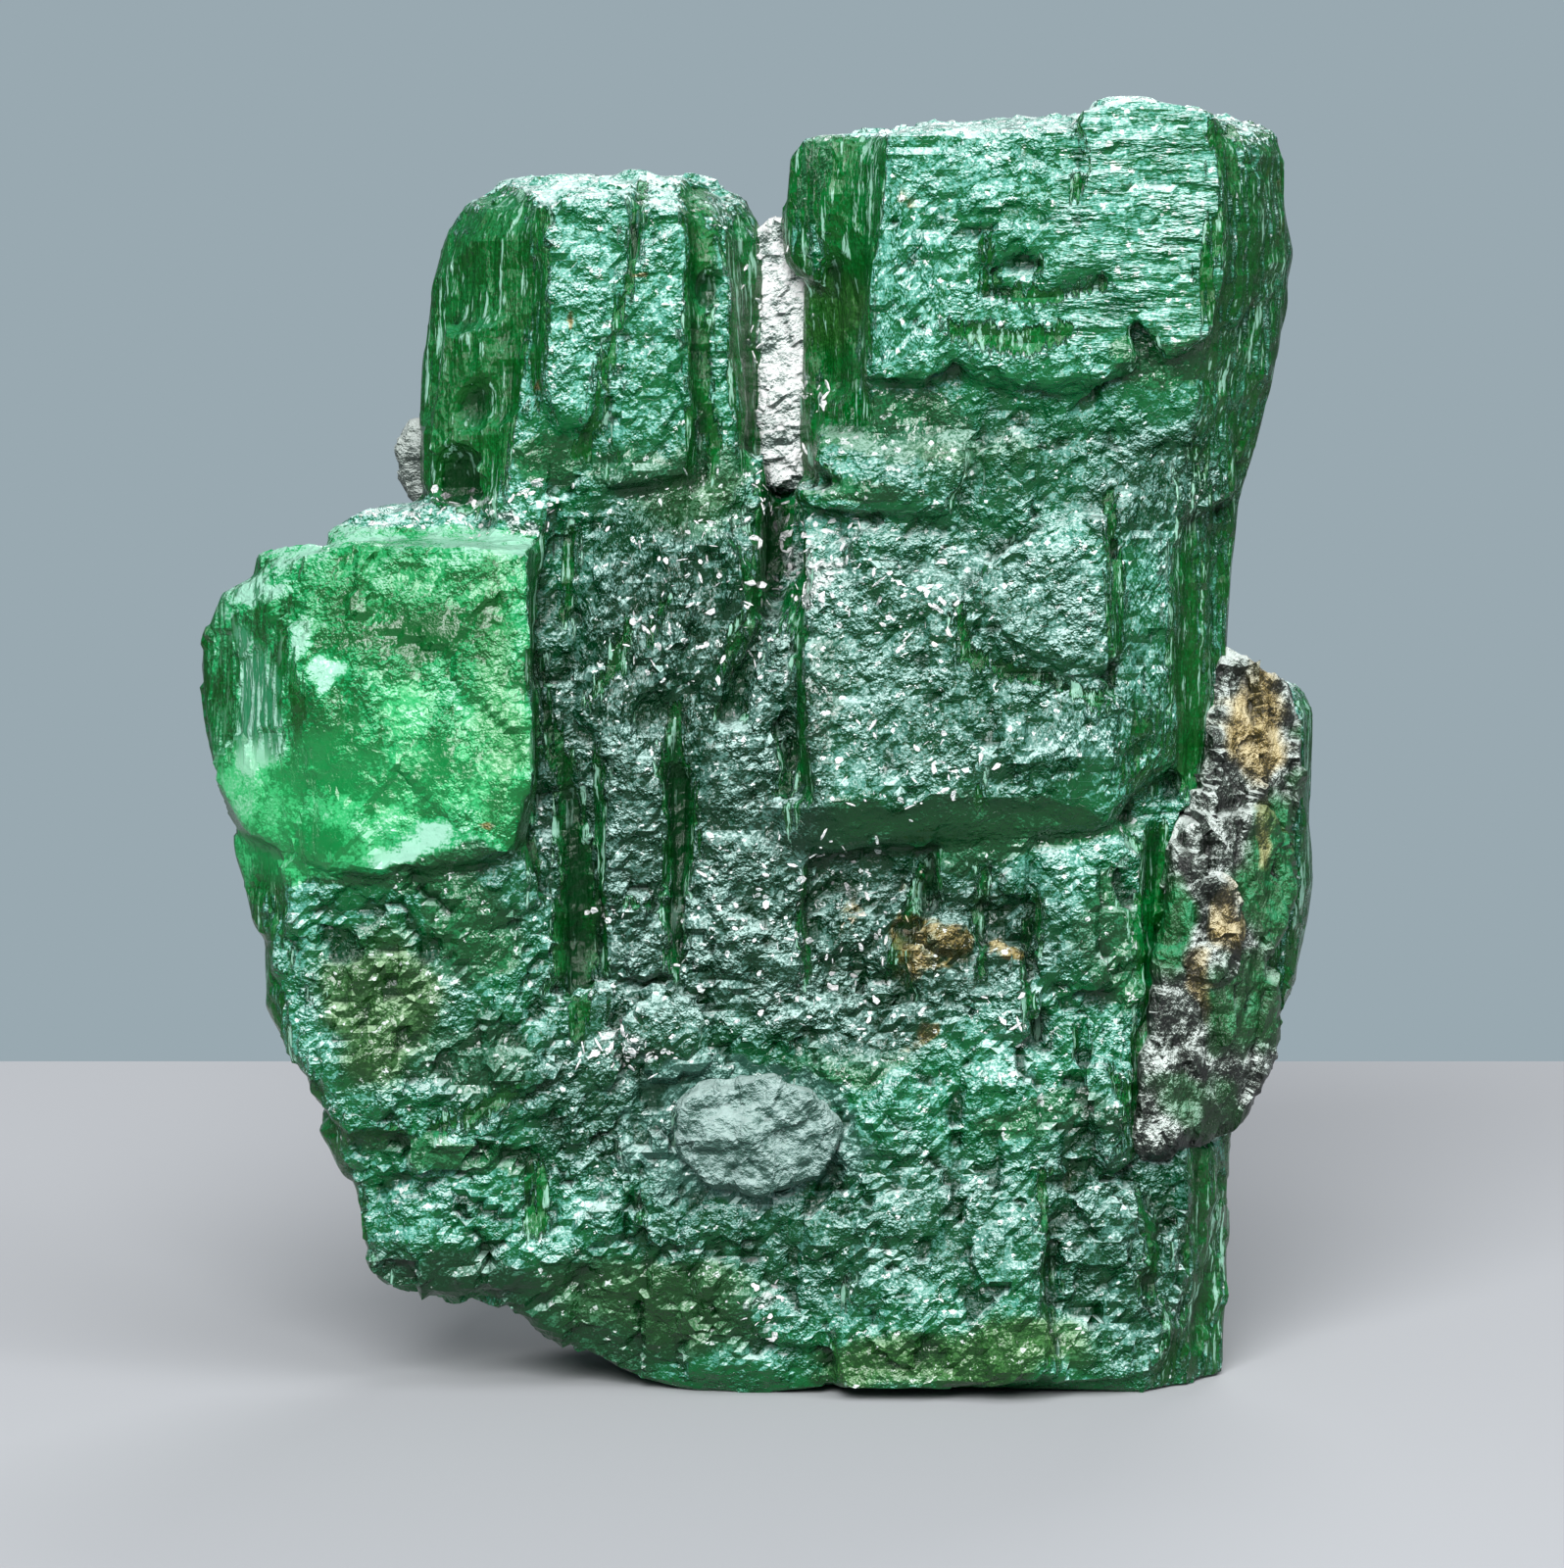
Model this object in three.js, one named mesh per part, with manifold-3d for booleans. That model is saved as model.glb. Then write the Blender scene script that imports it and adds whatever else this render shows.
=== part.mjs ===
// A cluster of intergrown emerald crystals, about 20 mm tall, with the mica schist,
// the white mica and the quartz that grew with it.
// Millimetres, +Z up, the front towards -Y. The origin is under the middle of the cluster.

import * as THREE from "three";
import { ConvexGeometry } from "three/addons/geometries/ConvexGeometry.js";
import { ImprovedNoise } from "three/addons/math/ImprovedNoise.js";
import { mergeVertices } from "three/addons/utils/BufferGeometryUtils.js";
import Module from "manifold-3d";

const wasm = await Module();
wasm.setup();

// Driving dimensions. Everything is drawn upright, on axes that run along the crystals:
// x to the right, y to the back, z along them. The whole then leans back by LEAN.
const LEAN = THREE.MathUtils.degToRad(7);
const BASE = 0.25; // height of the broken base on those axes, below the middle of the depth
const TOP = 19.4; // height of the tall crystal's end
const BACK = 3.4; // depth of the tall crystal's rear face
const GAP = 0.3; // between a mineral and the pocket that it sits in

// How far forward the front faces stand
const TOP_FACE = -3.6;
const MIDDLE_FACE = -3.3;
const LOWER_FACE = -2.7;
const LEFT_FACE = -2.95;
const GEM_FACE = -3.9;
const BODY_FACE = -2.7;

// Solids from hulls of corner points

const solidOf = (geometry) => {
  const loose = geometry.index ? geometry.toNonIndexed() : geometry;
  const bare = new THREE.BufferGeometry();
  bare.setAttribute("position", loose.getAttribute("position"));
  const merged = mergeVertices(bare, 1e-4);
  return new wasm.Manifold(
    new wasm.Mesh({
      numProp: 3,
      vertProperties: merged.attributes.position.array,
      triVerts: new Uint32Array(merged.index.array),
    }),
  );
};

const hull = (points) =>
  solidOf(new ConvexGeometry(points.map(([x, y, z]) => new THREE.Vector3(x, y, z))));

const middleOf = (corners) =>
  corners
    .reduce(([sx, sy], [x, y]) => [sx + x, sy + y], [0, 0])
    .map((sum) => sum / corners.length);

// A crystal: its outline in plan at several heights. A level is a height, the outline's
// scale there, its shift and the slopes of that cross-section along x and y.
const crystal = (plan, levels) => {
  const [cx, cy] = middleOf(plan);
  return hull(
    levels.flatMap(({ z, scale = 1, shift = [0, 0], slope = [0, 0] }) =>
      plan.map(([x, y]) => [
        cx + (x - cx) * scale + shift[0],
        cy + (y - cy) * scale + shift[1],
        z + (x - cx) * slope[0] + (y - cy) * slope[1],
      ]),
    ),
  );
};

// A block seen from the front: the corners of its face as x, z and how far they stand
// before `face`, the depth of its foot, and how far its sides flare out on the way there.
const block = (face, corners, { foot = 0, left = 0, right = 0, ends = 0 } = {}) => {
  const [cx, cz] = middleOf(corners);
  return hull(
    corners.flatMap(([x, z, rise = 0]) => [
      [x, face - rise, z],
      [x + (x < cx ? -left : right), foot, z + Math.sign(z - cz) * ends],
    ]),
  );
};

// A conchoidal hollow, taken out with a coarse ball.
const hollow = ([x, y, z], [rx, ry, rz], turn = 0) => {
  const ball = new THREE.IcosahedronGeometry(1, 1);
  ball.scale(rx, ry, rz);
  ball.rotateY(turn);
  ball.translate(x, y, z);
  return solidOf(ball);
};

// A five-sided plate that a break has left standing out: the middle of its face, its width
// and height, and in degrees how far it turns to the right and leans forward. Its corners
// lie differently on every plate, because they follow its place.
const plate = ([x, y, z], [width, height], [turn, lean]) => {
  const thickness = 0.8;
  const slab = new THREE.CylinderGeometry(0.7, 0.6, thickness, 5);
  slab.rotateY(x + z);
  slab.scale(width, 1, height);
  slab.translate(0, thickness / 2, 0);
  slab.rotateX(THREE.MathUtils.degToRad(lean));
  slab.rotateZ(THREE.MathUtils.degToRad(turn));
  slab.translate(x, y, z);
  return solidOf(slab);
};

const join = (solids) => solids.reduce((sum, next) => sum.add(next));
const cut = (solid, tools) => tools.reduce((left, tool) => left.subtract(tool), solid);

// The largest body alone: blocks that overlap can seal a small hollow between them.
const largest = (solid) =>
  solid.decompose().reduce((most, next) => (next.volume() > most.volume() ? next : most));

// The tall crystal at the right: a core, and three tiers broken off at the front

const tallCore = crystal(
  [[0.3, -1.2], [1.2, -2.15], [5.6, -2.1], [6.78, -0.6], [6.3, 2.3], [4.6, BACK], [1.6, BACK - 0.1]],
  [{ z: -1 }, { z: 9 }, { z: 14.6, shift: [0.1, 0] }],
);

const upperTier = crystal(
  [[0.2, -1.4], [1.42, TOP_FACE + 0.35], [6.7, TOP_FACE + 0.4], [7.85, -1.5], [6.9, 2.35], [2.2, 3.2]],
  [
    { z: 13.75, scale: 0.88, shift: [-0.38, 0.35] },
    { z: 15.4, scale: 0.95, shift: [-0.17, 0.12] },
    { z: 17.5 },
    { z: 19.0, scale: 0.985 },
    { z: TOP, scale: 0.94, slope: [0.02, 0] },
    { z: TOP + 0.22, scale: 0.76, slope: [0.04, 0.03] },
  ],
);
const upperFaces = [
  block(TOP_FACE, [[1.52, 19.35], [3.0, 19.5, -0.05], [4.5, 19.4, -0.03], [4.5, 17.7, 0.05],
    [3.2, 17.45, 0.05], [1.4, 17.5, 0.02]], { foot: -1 }),
  block(TOP_FACE, [[1.4, 17.8, 0.03], [3.2, 17.8, 0.05], [3.0, 16.5, 0.02], [2.7, 15.8, 0],
    [1.9, 15.5, 0.05], [1.2, 15.6, -0.05], [1.25, 16.4, 0]], { foot: -1 }),
  block(TOP_FACE, [[4.6, 19.72, 0.08], [5.5, 19.9, 0.02], [6.5, 19.75], [6.76, 19.2, -0.1],
    [6.74, 17.6, 0.05], [6.6, 16.2, 0.05], [5.9, 15.9, 0.08], [5.1, 16.8, 0.12], [4.62, 17.6, 0.12]],
    { foot: -1 }),
  block(TOP_FACE, [[3.9, 17.65, 0.06], [4.7, 17.65, 0.1], [4.7, 17.05, 0.14], [3.95, 17.0, 0.12]],
    { foot: -2 }),
  block(TOP_FACE, [[2.9, 17.2, -0.1], [4.9, 17.2, -0.1], [5.4, 15.8, 0], [4.2, 15.5, 0.05],
    [2.8, 15.7, -0.05]], { foot: -2, ends: 0.3 }),
  block(-1.9, [[4.5, 19.75], [5.5, 19.98, 0.1], [6.6, 19.75], [7.5, 19.3, -0.8], [7.6, 18.6, -0.8],
    [4.5, 18, 0.3]], { foot: 2 }),
  block(-2.1, [[0.16, 19.1, -0.2], [0.36, 19.4, 0], [1.1, 19.42, 0.5], [1.1, 17.4, 0.6],
    [0.12, 17.8, -0.2]], { foot: 0.5 }),
  block(-1.9, [[-0.06, 18.1, -0.4], [0.15, 18.5, 0], [0.6, 18, 0.3], [0.5, 17.0, 0.4],
    [-0.06, 17.4, -0.4]], { foot: 0.5 }),
  block(-2.7, [[6.85, 19.1, 0.1], [7.25, 19.2, -0.4], [7.35, 16.8, -0.4], [6.95, 16.4, 0.1]],
    { foot: -0.5 }),
  block(-1.8, [[7.3, 18.9, 0.1], [7.75, 18.7, -0.5], [7.9, 17.6, -0.7], [7.6, 16.0, -0.5],
    [7.3, 15.6, 0.1]], { foot: 0.8 }),
];
const upperHollows = [
  hollow([1.9, -4.2, 15.0], [1.7, 1.1, 0.55], 0.12),
  hollow([5.35, -4.1, 14.7], [1.15, 1.4, 0.7], -0.1),
  hollow([3.7, -4.4, 15.2], [1.5, 1.1, 0.6]),
  hollow([3.3, -4.2, 16.9], [0.55, 0.9, 0.45]),
  hollow([6.9, -3.9, 14.9], [0.8, 1.5, 0.8], 0.3),
  hollow([5.5, -4.3, 16.6], [0.35, 0.8, 0.6], 0.7),
  hollow([2.6, -4.2, 19.7], [1.1, 0.9, 0.3]),
  hollow([4.54, -3.9, 18.9], [0.07, 0.7, 0.8]),
];
const paleFacet = block(-3.05, [[0.5, 14.8, -0.45], [1.1, 14.55, -0.2], [1.9, 14.7, -0.1],
  [2.85, 14.75, -0.05], [2.7, 14.0, 0.2], [2.4, 13.75, 0.2], [1.5, 13.9, 0.3], [0.75, 14.1, 0.1],
  [0.5, 14.3, -0.1]], { foot: -0.5 });
const lipUnderUpper = block(-3.0, [[0.15, 14.05, -0.2], [1.2, 13.85, 0.35], [2.6, 13.75, 0.3],
  [2.65, 13.45, 0], [1.5, 13.5, 0.1], [0.3, 13.7, -0.1]], { foot: -0.5 });
const brokenBlocks = [
  block(-2.8, [[2.8, 14.9, 0], [3.9, 15.2, 0.1], [4.3, 14.3, 0.2], [4.3, 13.2, 0.15], [2.8, 13.2, 0.1]],
    { foot: -1, ends: 0.3 }),
  block(-2.6, [[5.9, 15.2], [6.9, 15.0, -0.4], [7.0, 13.9, -0.5], [6.2, 13.5, 0]], { foot: 0 }),
  block(-2.6, [[4.1, 15.2, 0.2], [6.0, 15.2, 0.1], [6.1, 13.2, 0.1], [4.1, 13.1, 0.4]], { foot: -1 }),
  block(-2.6, [[0.3, 13.6, -0.2], [2.9, 13.6, 0.2], [3.2, 12.6, 0.3], [0.4, 12.2, 0.2]], { foot: -1 }),
];

const middleTier = [
  block(MIDDLE_FACE, [[0.35, 12.4, -0.55], [1.2, 13.0, -0.5], [2.85, 13.3, -0.45], [3.1, 12.0, -0.15],
    [3.6, 11.0, -0.05], [5.05, 10.7, 0], [5.08, 9.35, 0], [2.4, 9.1, 0.1], [0.4, 9.0, 0],
    [0.34, 11.2, -0.2]], { foot: -1, left: 0.3 }),
  block(MIDDLE_FACE, [[0.42, 9.1, 0.05], [2.4, 9.15, 0.15], [5.05, 9.45, 0.05], [5.9, 9.75, -0.7],
    [5.0, 8.85, -0.4], [3.4, 8.75, -0.3], [2.3, 8.7, -0.2], [0.9, 8.35, -0.4], [0.3, 8.25, -0.5],
    [-0.1, 8.5, -0.6], [-0.2, 9.15, -0.5]], { foot: -1 }),
  block(MIDDLE_FACE, [[3.15, 12.9, -0.1], [4.0, 13.3, -0.1], [5.0, 13.5, -0.05], [5.1, 11.4, 0.15],
    [4.8, 11.15, 0.2], [4.2, 11.2, 0.2], [3.4, 11.7, 0.15], [2.95, 12.3, 0]], { foot: -1.4 }),
  block(MIDDLE_FACE, [[3.4, 10.9, 0.1], [5.0, 10.75, 0.05], [5.5, 10.2, -0.2], [4.9, 9.7, 0.15],
    [3.2, 9.6, 0.2]], { foot: -2 }),
  block(MIDDLE_FACE, [[5.2, 13.7, -0.2], [6.0, 13.9, -0.6], [6.1, 9.7, -0.8], [5.15, 9.4, -0.25]],
    { foot: -0.5, right: 0.3 }),
  block(-2.3, [[6.12, 14.1], [6.5, 14.1, -0.5], [6.5, 9.0, -0.6], [6.12, 9.0, -0.1]],
    { foot: 0, right: 0.3 }),
  block(-1.6, [[6.5, 14.2], [6.95, 14.1, -0.6], [6.82, 12.6, -0.6], [6.78, 9.0, -0.6], [6.5, 9.0, -0.1]],
    { foot: 0.8 }),
];

const lowerTier = [
  block(LOWER_FACE, [[-0.1, 8.6, -0.5], [0.32, 8.6, -0.4], [0.36, 6.0, 0], [-0.1, 6.0, 0]],
    { foot: -1 }),
  block(LOWER_FACE, [[0.42, 8.6, -0.45], [0.74, 8.6, -0.45], [0.8, 6.9, -0.2], [0.42, 6.2, -0.1]],
    { foot: -1 }),
  block(LOWER_FACE, [[1.15, 8.6, -0.6], [2.1, 8.8, -0.5], [1.9, 7.4, -0.35], [1.55, 6.5, -0.1],
    [1.1, 7.0, -0.3]], { foot: -1 }),
  block(LOWER_FACE, [[2.45, 8.8, 0], [3.0, 8.8, -0.05], [3.0, 7.7, 0], [2.35, 7.6, 0.05]],
    { foot: -1.4, left: 0.35 }),
  block(LOWER_FACE, [[2.3, 7.6, -0.1], [2.98, 7.6, -0.1], [3.0, 6.1, 0.1], [2.5, 5.7, 0],
    [2.0, 6.3, 0.1], [1.95, 7.0, 0.15]], { foot: -1.4, left: 0.3 }),
  block(LOWER_FACE, [[3.1, 8.8, 0.05], [3.7, 8.8, 0.05], [3.7, 7.7, 0.1], [3.1, 7.7, 0]],
    { foot: -1.2 }),
  block(LOWER_FACE, [[3.1, 6.9, 0.15], [3.72, 6.9, 0.2], [3.76, 5.6, 0.25], [3.0, 5.5, 0.1]],
    { foot: -1.2 }),
  block(LOWER_FACE, [[3.92, 8.8, -0.15], [5.2, 8.9, -0.2], [5.5, 8.2, -0.2], [4.9, 8.0, -0.05],
    [3.92, 8.1, 0]], { foot: -1.2 }),
  block(LOWER_FACE, [[3.9, 8.2, 0.05], [4.9, 8.1, 0], [5.5, 7.1, -0.1], [5.5, 6.8, 0], [4.8, 6.2, 0.15],
    [3.92, 5.9, 0.1]], { foot: -1.2, right: 0.3 }),
  block(-2.0, [[5.5, 9.2], [5.85, 9.3, -0.1], [5.75, 6.2, 0], [5.3, 6.0, 0.3]],
    { foot: -0.6, right: 0.7 }),
];
const lowerPits = [
  hollow([0.98, -3.1, 7.3], [0.18, 0.95, 0.75]),
  hollow([1.35, -3.1, 6.75], [0.3, 0.75, 0.35], 0.5),
  hollow([2.95, -3.2, 7.2], [0.09, 0.8, 0.7]),
  hollow([3.4, -3.2, 7.25], [0.4, 0.75, 0.22]),
  hollow([5.3, -3.0, 8.1], [0.35, 0.9, 0.25], -0.4),
];

// The left crystal, with its domed top

const leftCrystal = crystal(
  [[-5.62, -0.5], [-5.1, -1.7], [-4.55, -2.3], [-3.6, LEFT_FACE + 0.22], [-1.6, LEFT_FACE + 0.25],
    [-0.85, -2.1], [-0.28, -0.9], [-0.4, 1.9], [-2.4, BACK - 0.4], [-4.9, 2.2]],
  [
    { z: 9, scale: 0.8, shift: [0.3, 0.75] },
    { z: 12.9, scale: 0.95, shift: [0.05, 0.2] },
    { z: 14.5, scale: 0.985, shift: [-0.03, 0] },
    { z: 15.8, scale: 0.99 },
    { z: 17.0, scale: 0.97, shift: [0.07, 0] },
    { z: 17.9, scale: 0.93, shift: [0.15, 0] },
    { z: 18.35, scale: 0.82, shift: [0.18, 0.05] },
    { z: 18.72, scale: 0.56, shift: [0.2, 0.05] },
    { z: 18.84, scale: 0.2, shift: [0.1, 0.1] },
  ],
);
const leftFaces = [
  block(LEFT_FACE, [[-3.6, 18.35, -0.1], [-2.4, 18.45, -0.1], [-2.4, 17.4, 0], [-2.75, 15.4, 0.08],
    [-2.95, 14.9, 0.1], [-3.35, 14.75, 0.1], [-3.65, 15.4, 0.05]],
    { foot: -2.3, left: 0.3, right: 0.25 }),
  block(LEFT_FACE, [[-2.1, 18.3, -0.15], [-1.5, 18.2, -0.2], [-1.5, 16.0, 0], [-1.55, 14.1, 0],
    [-2.65, 13.9, 0.05], [-2.45, 15.4, 0.05]], { foot: -2.3, left: 0.25, right: 0.25 }),
  block(-2.35, [[-1.15, 17.9], [-0.75, 17.7, -0.3], [-0.6, 15.0, -0.2], [-0.75, 13.6, 0.1],
    [-1.15, 13.4, 0.2]], { foot: -1.5, left: 0.15 }),
  block(-2.3, [[-5.3, 16.4, -0.5], [-4.6, 16.6, 0.1], [-4.55, 13.4, 0.2], [-5.4, 13.6, -0.4]],
    { foot: -0.4 }),
  block(-2.7, [[-4.4, 15.0, -0.05], [-3.8, 15.2, 0.05], [-3.7, 13.2, 0.1], [-4.45, 13.2, 0]],
    { foot: -1 }),
  block(-1.3, [[-5.62, 14.9, -0.2], [-5.2, 15.3, 0.3], [-5.1, 13.7, 0.4], [-5.62, 13.9, -0.2]],
    { foot: 0.8 }),
];
const leftHollows = [
  hollow([-4.9, -2.5, 15.2], [0.4, 0.6, 0.5], 0.3),
  hollow([-1.05, -2.6, 17.0], [0.3, 0.6, 0.45]),
  hollow([-3.1, -3.1, 14.3], [0.7, 0.5, 0.6], 0.4),
  hollow([-5.1, -2.1, 14.0], [0.5, 0.5, 0.6]),
];

// The body between and below the crystals

const body = [
  crystal(
    [[-6.5, -0.8], [-5.6, -2.0], [-2.4, -2.2], [0.6, -2.0], [1, 2.6], [-2, BACK], [-5.6, 2.6]],
    [{ z: 3.2, scale: 0.88, shift: [0.3, 0] }, { z: 5, scale: 0.97 }, { z: 12.4 }],
  ),
  crystal(
    [[-4.5, -0.6], [-3.6, -1.9], [1, -2.2], [6.1, -2.0], [6.85, -0.4], [6.2, 2.4], [4.2, BACK],
      [-1.0, BACK], [-3.9, 2.4]],
    [
      { z: -0.6, scale: 0.72, shift: [1.55, 0] },
      { z: 0.4, scale: 0.82, shift: [0.97, 0] },
      { z: 1.4, scale: 0.94, shift: [0.31, 0] },
      { z: 3 },
      { z: 9 },
    ],
  ),
  crystal([[-0.9, -0.5], [0.9, -0.5], [0.9, 2.6], [-0.9, 2.6]], [{ z: 9 }, { z: 13.9 }]),
];
const bodyColumns = [
  block(-2.35, [[-3.6, 13.4, 0], [-1.3, 13.9, 0], [-0.9, 12.0, 0.1], [-1.2, 9.6, 0.2], [-3.4, 9.4, 0.1]],
    { foot: -1 }),
  block(-2.45, [[-3.85, 13.2, -0.2], [-3.25, 13.2, -0.1], [-3.15, 11.9, 0], [-3.55, 9.4, 0.1],
    [-3.85, 9.4, 0.1]], { foot: -1.2, right: 0.2 }),
  block(-2.3, [[-3.9, 9.6, 0], [-3.5, 9.5, 0], [-3.55, 6.8, 0.1], [-4.0, 6.6, 0.1]], { foot: -1.2 }),
  block(BODY_FACE, [[-3.05, 12.9, -0.25], [-2.2, 13.0, -0.2], [-2.0, 11.5, -0.05], [-2.35, 10.3, 0],
    [-3.1, 10.2, 0]], { foot: -1, left: 0.45, right: 0.2 }),
  block(BODY_FACE, [[-2.9, 10.2, 0.05], [-1.85, 10.2, 0.05], [-1.75, 8.6, 0.1], [-1.75, 7.8, 0.1],
    [-2.75, 7.8, 0.1]], { foot: -1, left: 0.5, right: 0.1 }),
  block(BODY_FACE, [[-2.78, 7.7, 0], [-1.75, 7.7, 0], [-1.8, 6.4, 0.1], [-2.72, 6.5, 0.15]],
    { foot: -1, left: 0.4, right: 0.1 }),
  block(BODY_FACE, [[-1.3, 10.1, -0.1], [-0.2, 10.5, -0.1], [0.2, 9.0, 0], [0.3, 7.0, 0.1],
    [0.2, 5.6, 0.15], [-1.0, 5.2, 0.1], [-1.6, 6.2, 0], [-1.35, 8.2, 0]], { foot: -1, left: 0.4 }),
  block(BODY_FACE, [[-0.35, 14.5, -0.7], [-0.3, 12.9, -0.4], [-0.45, 11.9, -0.2], [-0.9, 10.7, 0],
    [-1.6, 10.8, 0], [-1.5, 12.2, -0.05], [-1.35, 13.7, -0.1]], { foot: -1 }),
  block(BODY_FACE, [[-1.9, 13.1, -0.1], [-1.4, 13.0, -0.05], [-1.7, 10.6, 0.05], [-2.25, 10.7, 0.05]],
    { foot: -1.2 }),
  block(BODY_FACE, [[-0.1, 11.6, -0.5], [0.3, 12.6, -0.6], [0.9, 12.6, -0.2], [0.3, 10.6, 0],
    [-0.4, 10.2, 0.1], [-0.7, 10.7, -0.2]], { foot: -1 }),
];
// What shows between the columns, a third of a millimetre behind their faces
const behindColumns = [
  block(BODY_FACE, [[-3.9, 12.6, -0.5], [-0.2, 12.2, -0.45], [0.5, 8.6, -0.4], [0.5, 5.8, -0.3],
    [-3.7, 5.9, -0.35], [-4.0, 9.0, -0.5]], { foot: -1.2 }),
  block(LOWER_FACE, [[0.1, 8.7, -0.45], [5.6, 8.9, -0.4], [5.5, 5.8, -0.25], [0.1, 5.8, -0.25]],
    { foot: -1 }),
  block(MIDDLE_FACE, [[2.5, 13.0, -0.55], [5.3, 13.6, -0.5], [6.0, 13.4, -0.9], [6.0, 9.6, -0.9],
    [5.1, 9.3, -0.3], [2.4, 9.2, -0.2]], { foot: -1 }),
];
const bodyPits = [
  hollow([-0.95, -3.3, 10.9], [0.5, 0.75, 0.6], 0.3),
  hollow([-0.5, -3.3, 9.5], [0.6, 0.7, 0.7]),
  hollow([-3.35, -2.9, 6.1], [0.4, 0.5, 0.6]),
  hollow([-2.3, -3.2, 5.7], [0.5, 0.55, 0.35], 0.3),
  hollow([-2.0, -3.1, 12.1], [0.1, 0.5, 0.9], 0.25),
];
const slot = hull([
  [-0.3, -4, 15.4], [0.28, -4, 15.4], [0.2, -4, 12.6], [-0.1, -4, 11.6], [-0.6, -4, 11.0],
  [-0.35, -4, 12.4],
  [-0.2, -0.6, 15.4], [0.2, -0.6, 15.4], [0.1, -0.6, 12.6], [-0.15, -0.6, 12.0],
]);

const lowerFront = [
  block(BODY_FACE, [[-2.9, 6.3, -0.2], [-1.4, 6.0, 0.1], [1.2, 6.2, 0], [1.3, 4.9, 0.1],
    [1.1, 2.6, 0.15], [-2.2, 2.4, 0.1], [-2.6, 4.4, 0]], { foot: -1 }),
  block(BODY_FACE, [[-2.2, 3.4, -0.1], [0.9, 3.3, 0.05], [1.0, 0.7, 0], [-1.5, 1.1, -0.2]],
    { foot: -1, ends: 0.2 }),
  block(BODY_FACE, [[1.0, 6.1, 0], [2.4, 5.9, 0.1], [2.5, 3.4, 0.2], [1.1, 3.4, 0.1]], { foot: -1 }),
  block(BODY_FACE, [[2.55, 5.8, 0.05], [3.85, 5.5, 0.1], [3.9, 3.4, 0.15], [2.6, 3.3, 0.1]],
    { foot: -1 }),
  block(BODY_FACE, [[0.8, 3.5, 0.1], [2.6, 3.4, 0.25], [4.02, 3.45, 0.15], [4.04, 1.2, 0.25],
    [2.2, 0.9, 0.35], [0.9, 1.0, 0.15]], { foot: -1 }),
  block(-3.0, [[0.7, 1.1, -0.1], [2.2, 1.0, 0.1], [4.05, 1.3, 0], [4.1, 0.75, 0.1], [4.3, 0.28, 0],
    [2.0, 0.1, 0], [0.8, 0.1, -0.15]], { foot: -1 }),
  block(LOWER_FACE, [[4.0, 5.8, 0], [4.55, 5.7, -0.05], [4.6, 3.5, 0], [4.0, 3.4, 0.1]], { foot: -1 }),
  block(LOWER_FACE, [[4.7, 5.9, -0.1], [5.3, 5.9, -0.3], [5.4, 3.6, -0.2], [4.7, 3.4, 0]],
    { foot: -1, right: 0.4 }),
  block(LOWER_FACE, [[4.2, 3.3, 0], [5.4, 3.2, -0.2], [5.7, 2.4, -0.3], [5.5, 1.6, -0.2],
    [4.2, 1.9, 0.1]], { foot: -1, left: 0.1, right: 0.3 }),
  block(LOWER_FACE, [[4.25, 1.85, 0], [5.6, 1.5, -0.3], [6.0, 1.0, -0.4], [5.8, 0.4, -0.4],
    [5.2, 0.2, -0.2], [4.2, 0.15, 0]], { foot: -1, right: 0.2 }),
  block(-1.7, [[6.1, 4.2], [6.45, 4.3, -0.4], [6.6, 3.0, -0.5], [6.5, 1.6, -0.5], [6.2, 0.6, -0.4],
    [5.9, 0.3, 0], [5.9, 2.6, 0.2]], { foot: 0.6, right: 0.2 }),
];

const brokenPlates = [
  plate([-2.55, -2.62, 12.1], [0.8, 0.9], [8, -5]),
  plate([-1.0, -2.72, 12.6], [0.6, 1.2], [-9, 4]),
  plate([-0.6, -2.77, 9.8], [0.9, 0.9], [-7, -5]),
  plate([-0.5, -2.85, 7.9], [0.9, 1.1], [7, 5]),
  plate([-0.4, -2.87, 6.4], [1.1, 0.8], [-6, 6]),
  plate([-2.3, -2.88, 9.2], [0.7, 1.1], [-6, 6]),
  plate([-1.9, -2.88, 5.5], [1.1, 0.8], [-7, 8]),
  plate([1.0, -2.86, 5.3], [1.0, 0.8], [8, -6]),
  plate([1.8, -2.95, 4.4], [0.9, 1.0], [-6, 6]),
  plate([3.2, -2.93, 4.5], [0.9, 1.1], [7, 6]),
  plate([-1.7, -2.88, 2.7], [1.1, 0.7], [6, -8]),
  plate([0.3, -2.9, 2.5], [1.3, 0.7], [-8, 6]),
  plate([1.8, -3.05, 2.6], [1.1, 0.8], [5, 8]),
  plate([3.3, -3.02, 2.4], [0.9, 1.0], [-7, -6]),
  plate([-0.6, -2.78, 1.6], [1.3, 0.6], [7, 6]),
  plate([1.6, -3.06, 1.6], [1.2, 0.6], [-5, -8]),
  plate([4.75, -2.78, 4.4], [0.6, 1.2], [-8, 5]),
  plate([4.9, -2.72, 2.6], [0.9, 0.6], [8, -6]),
  plate([3.5, -3.05, 14.2], [0.9, 0.8], [-8, 6]),
  plate([5.0, -2.82, 14.0], [1.0, 0.7], [8, -6]),
  plate([1.6, -2.95, 12.95], [1.2, 0.6], [6, -7]),
];

// The bright gem crystal at the left, and the broken ledges under it

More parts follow.
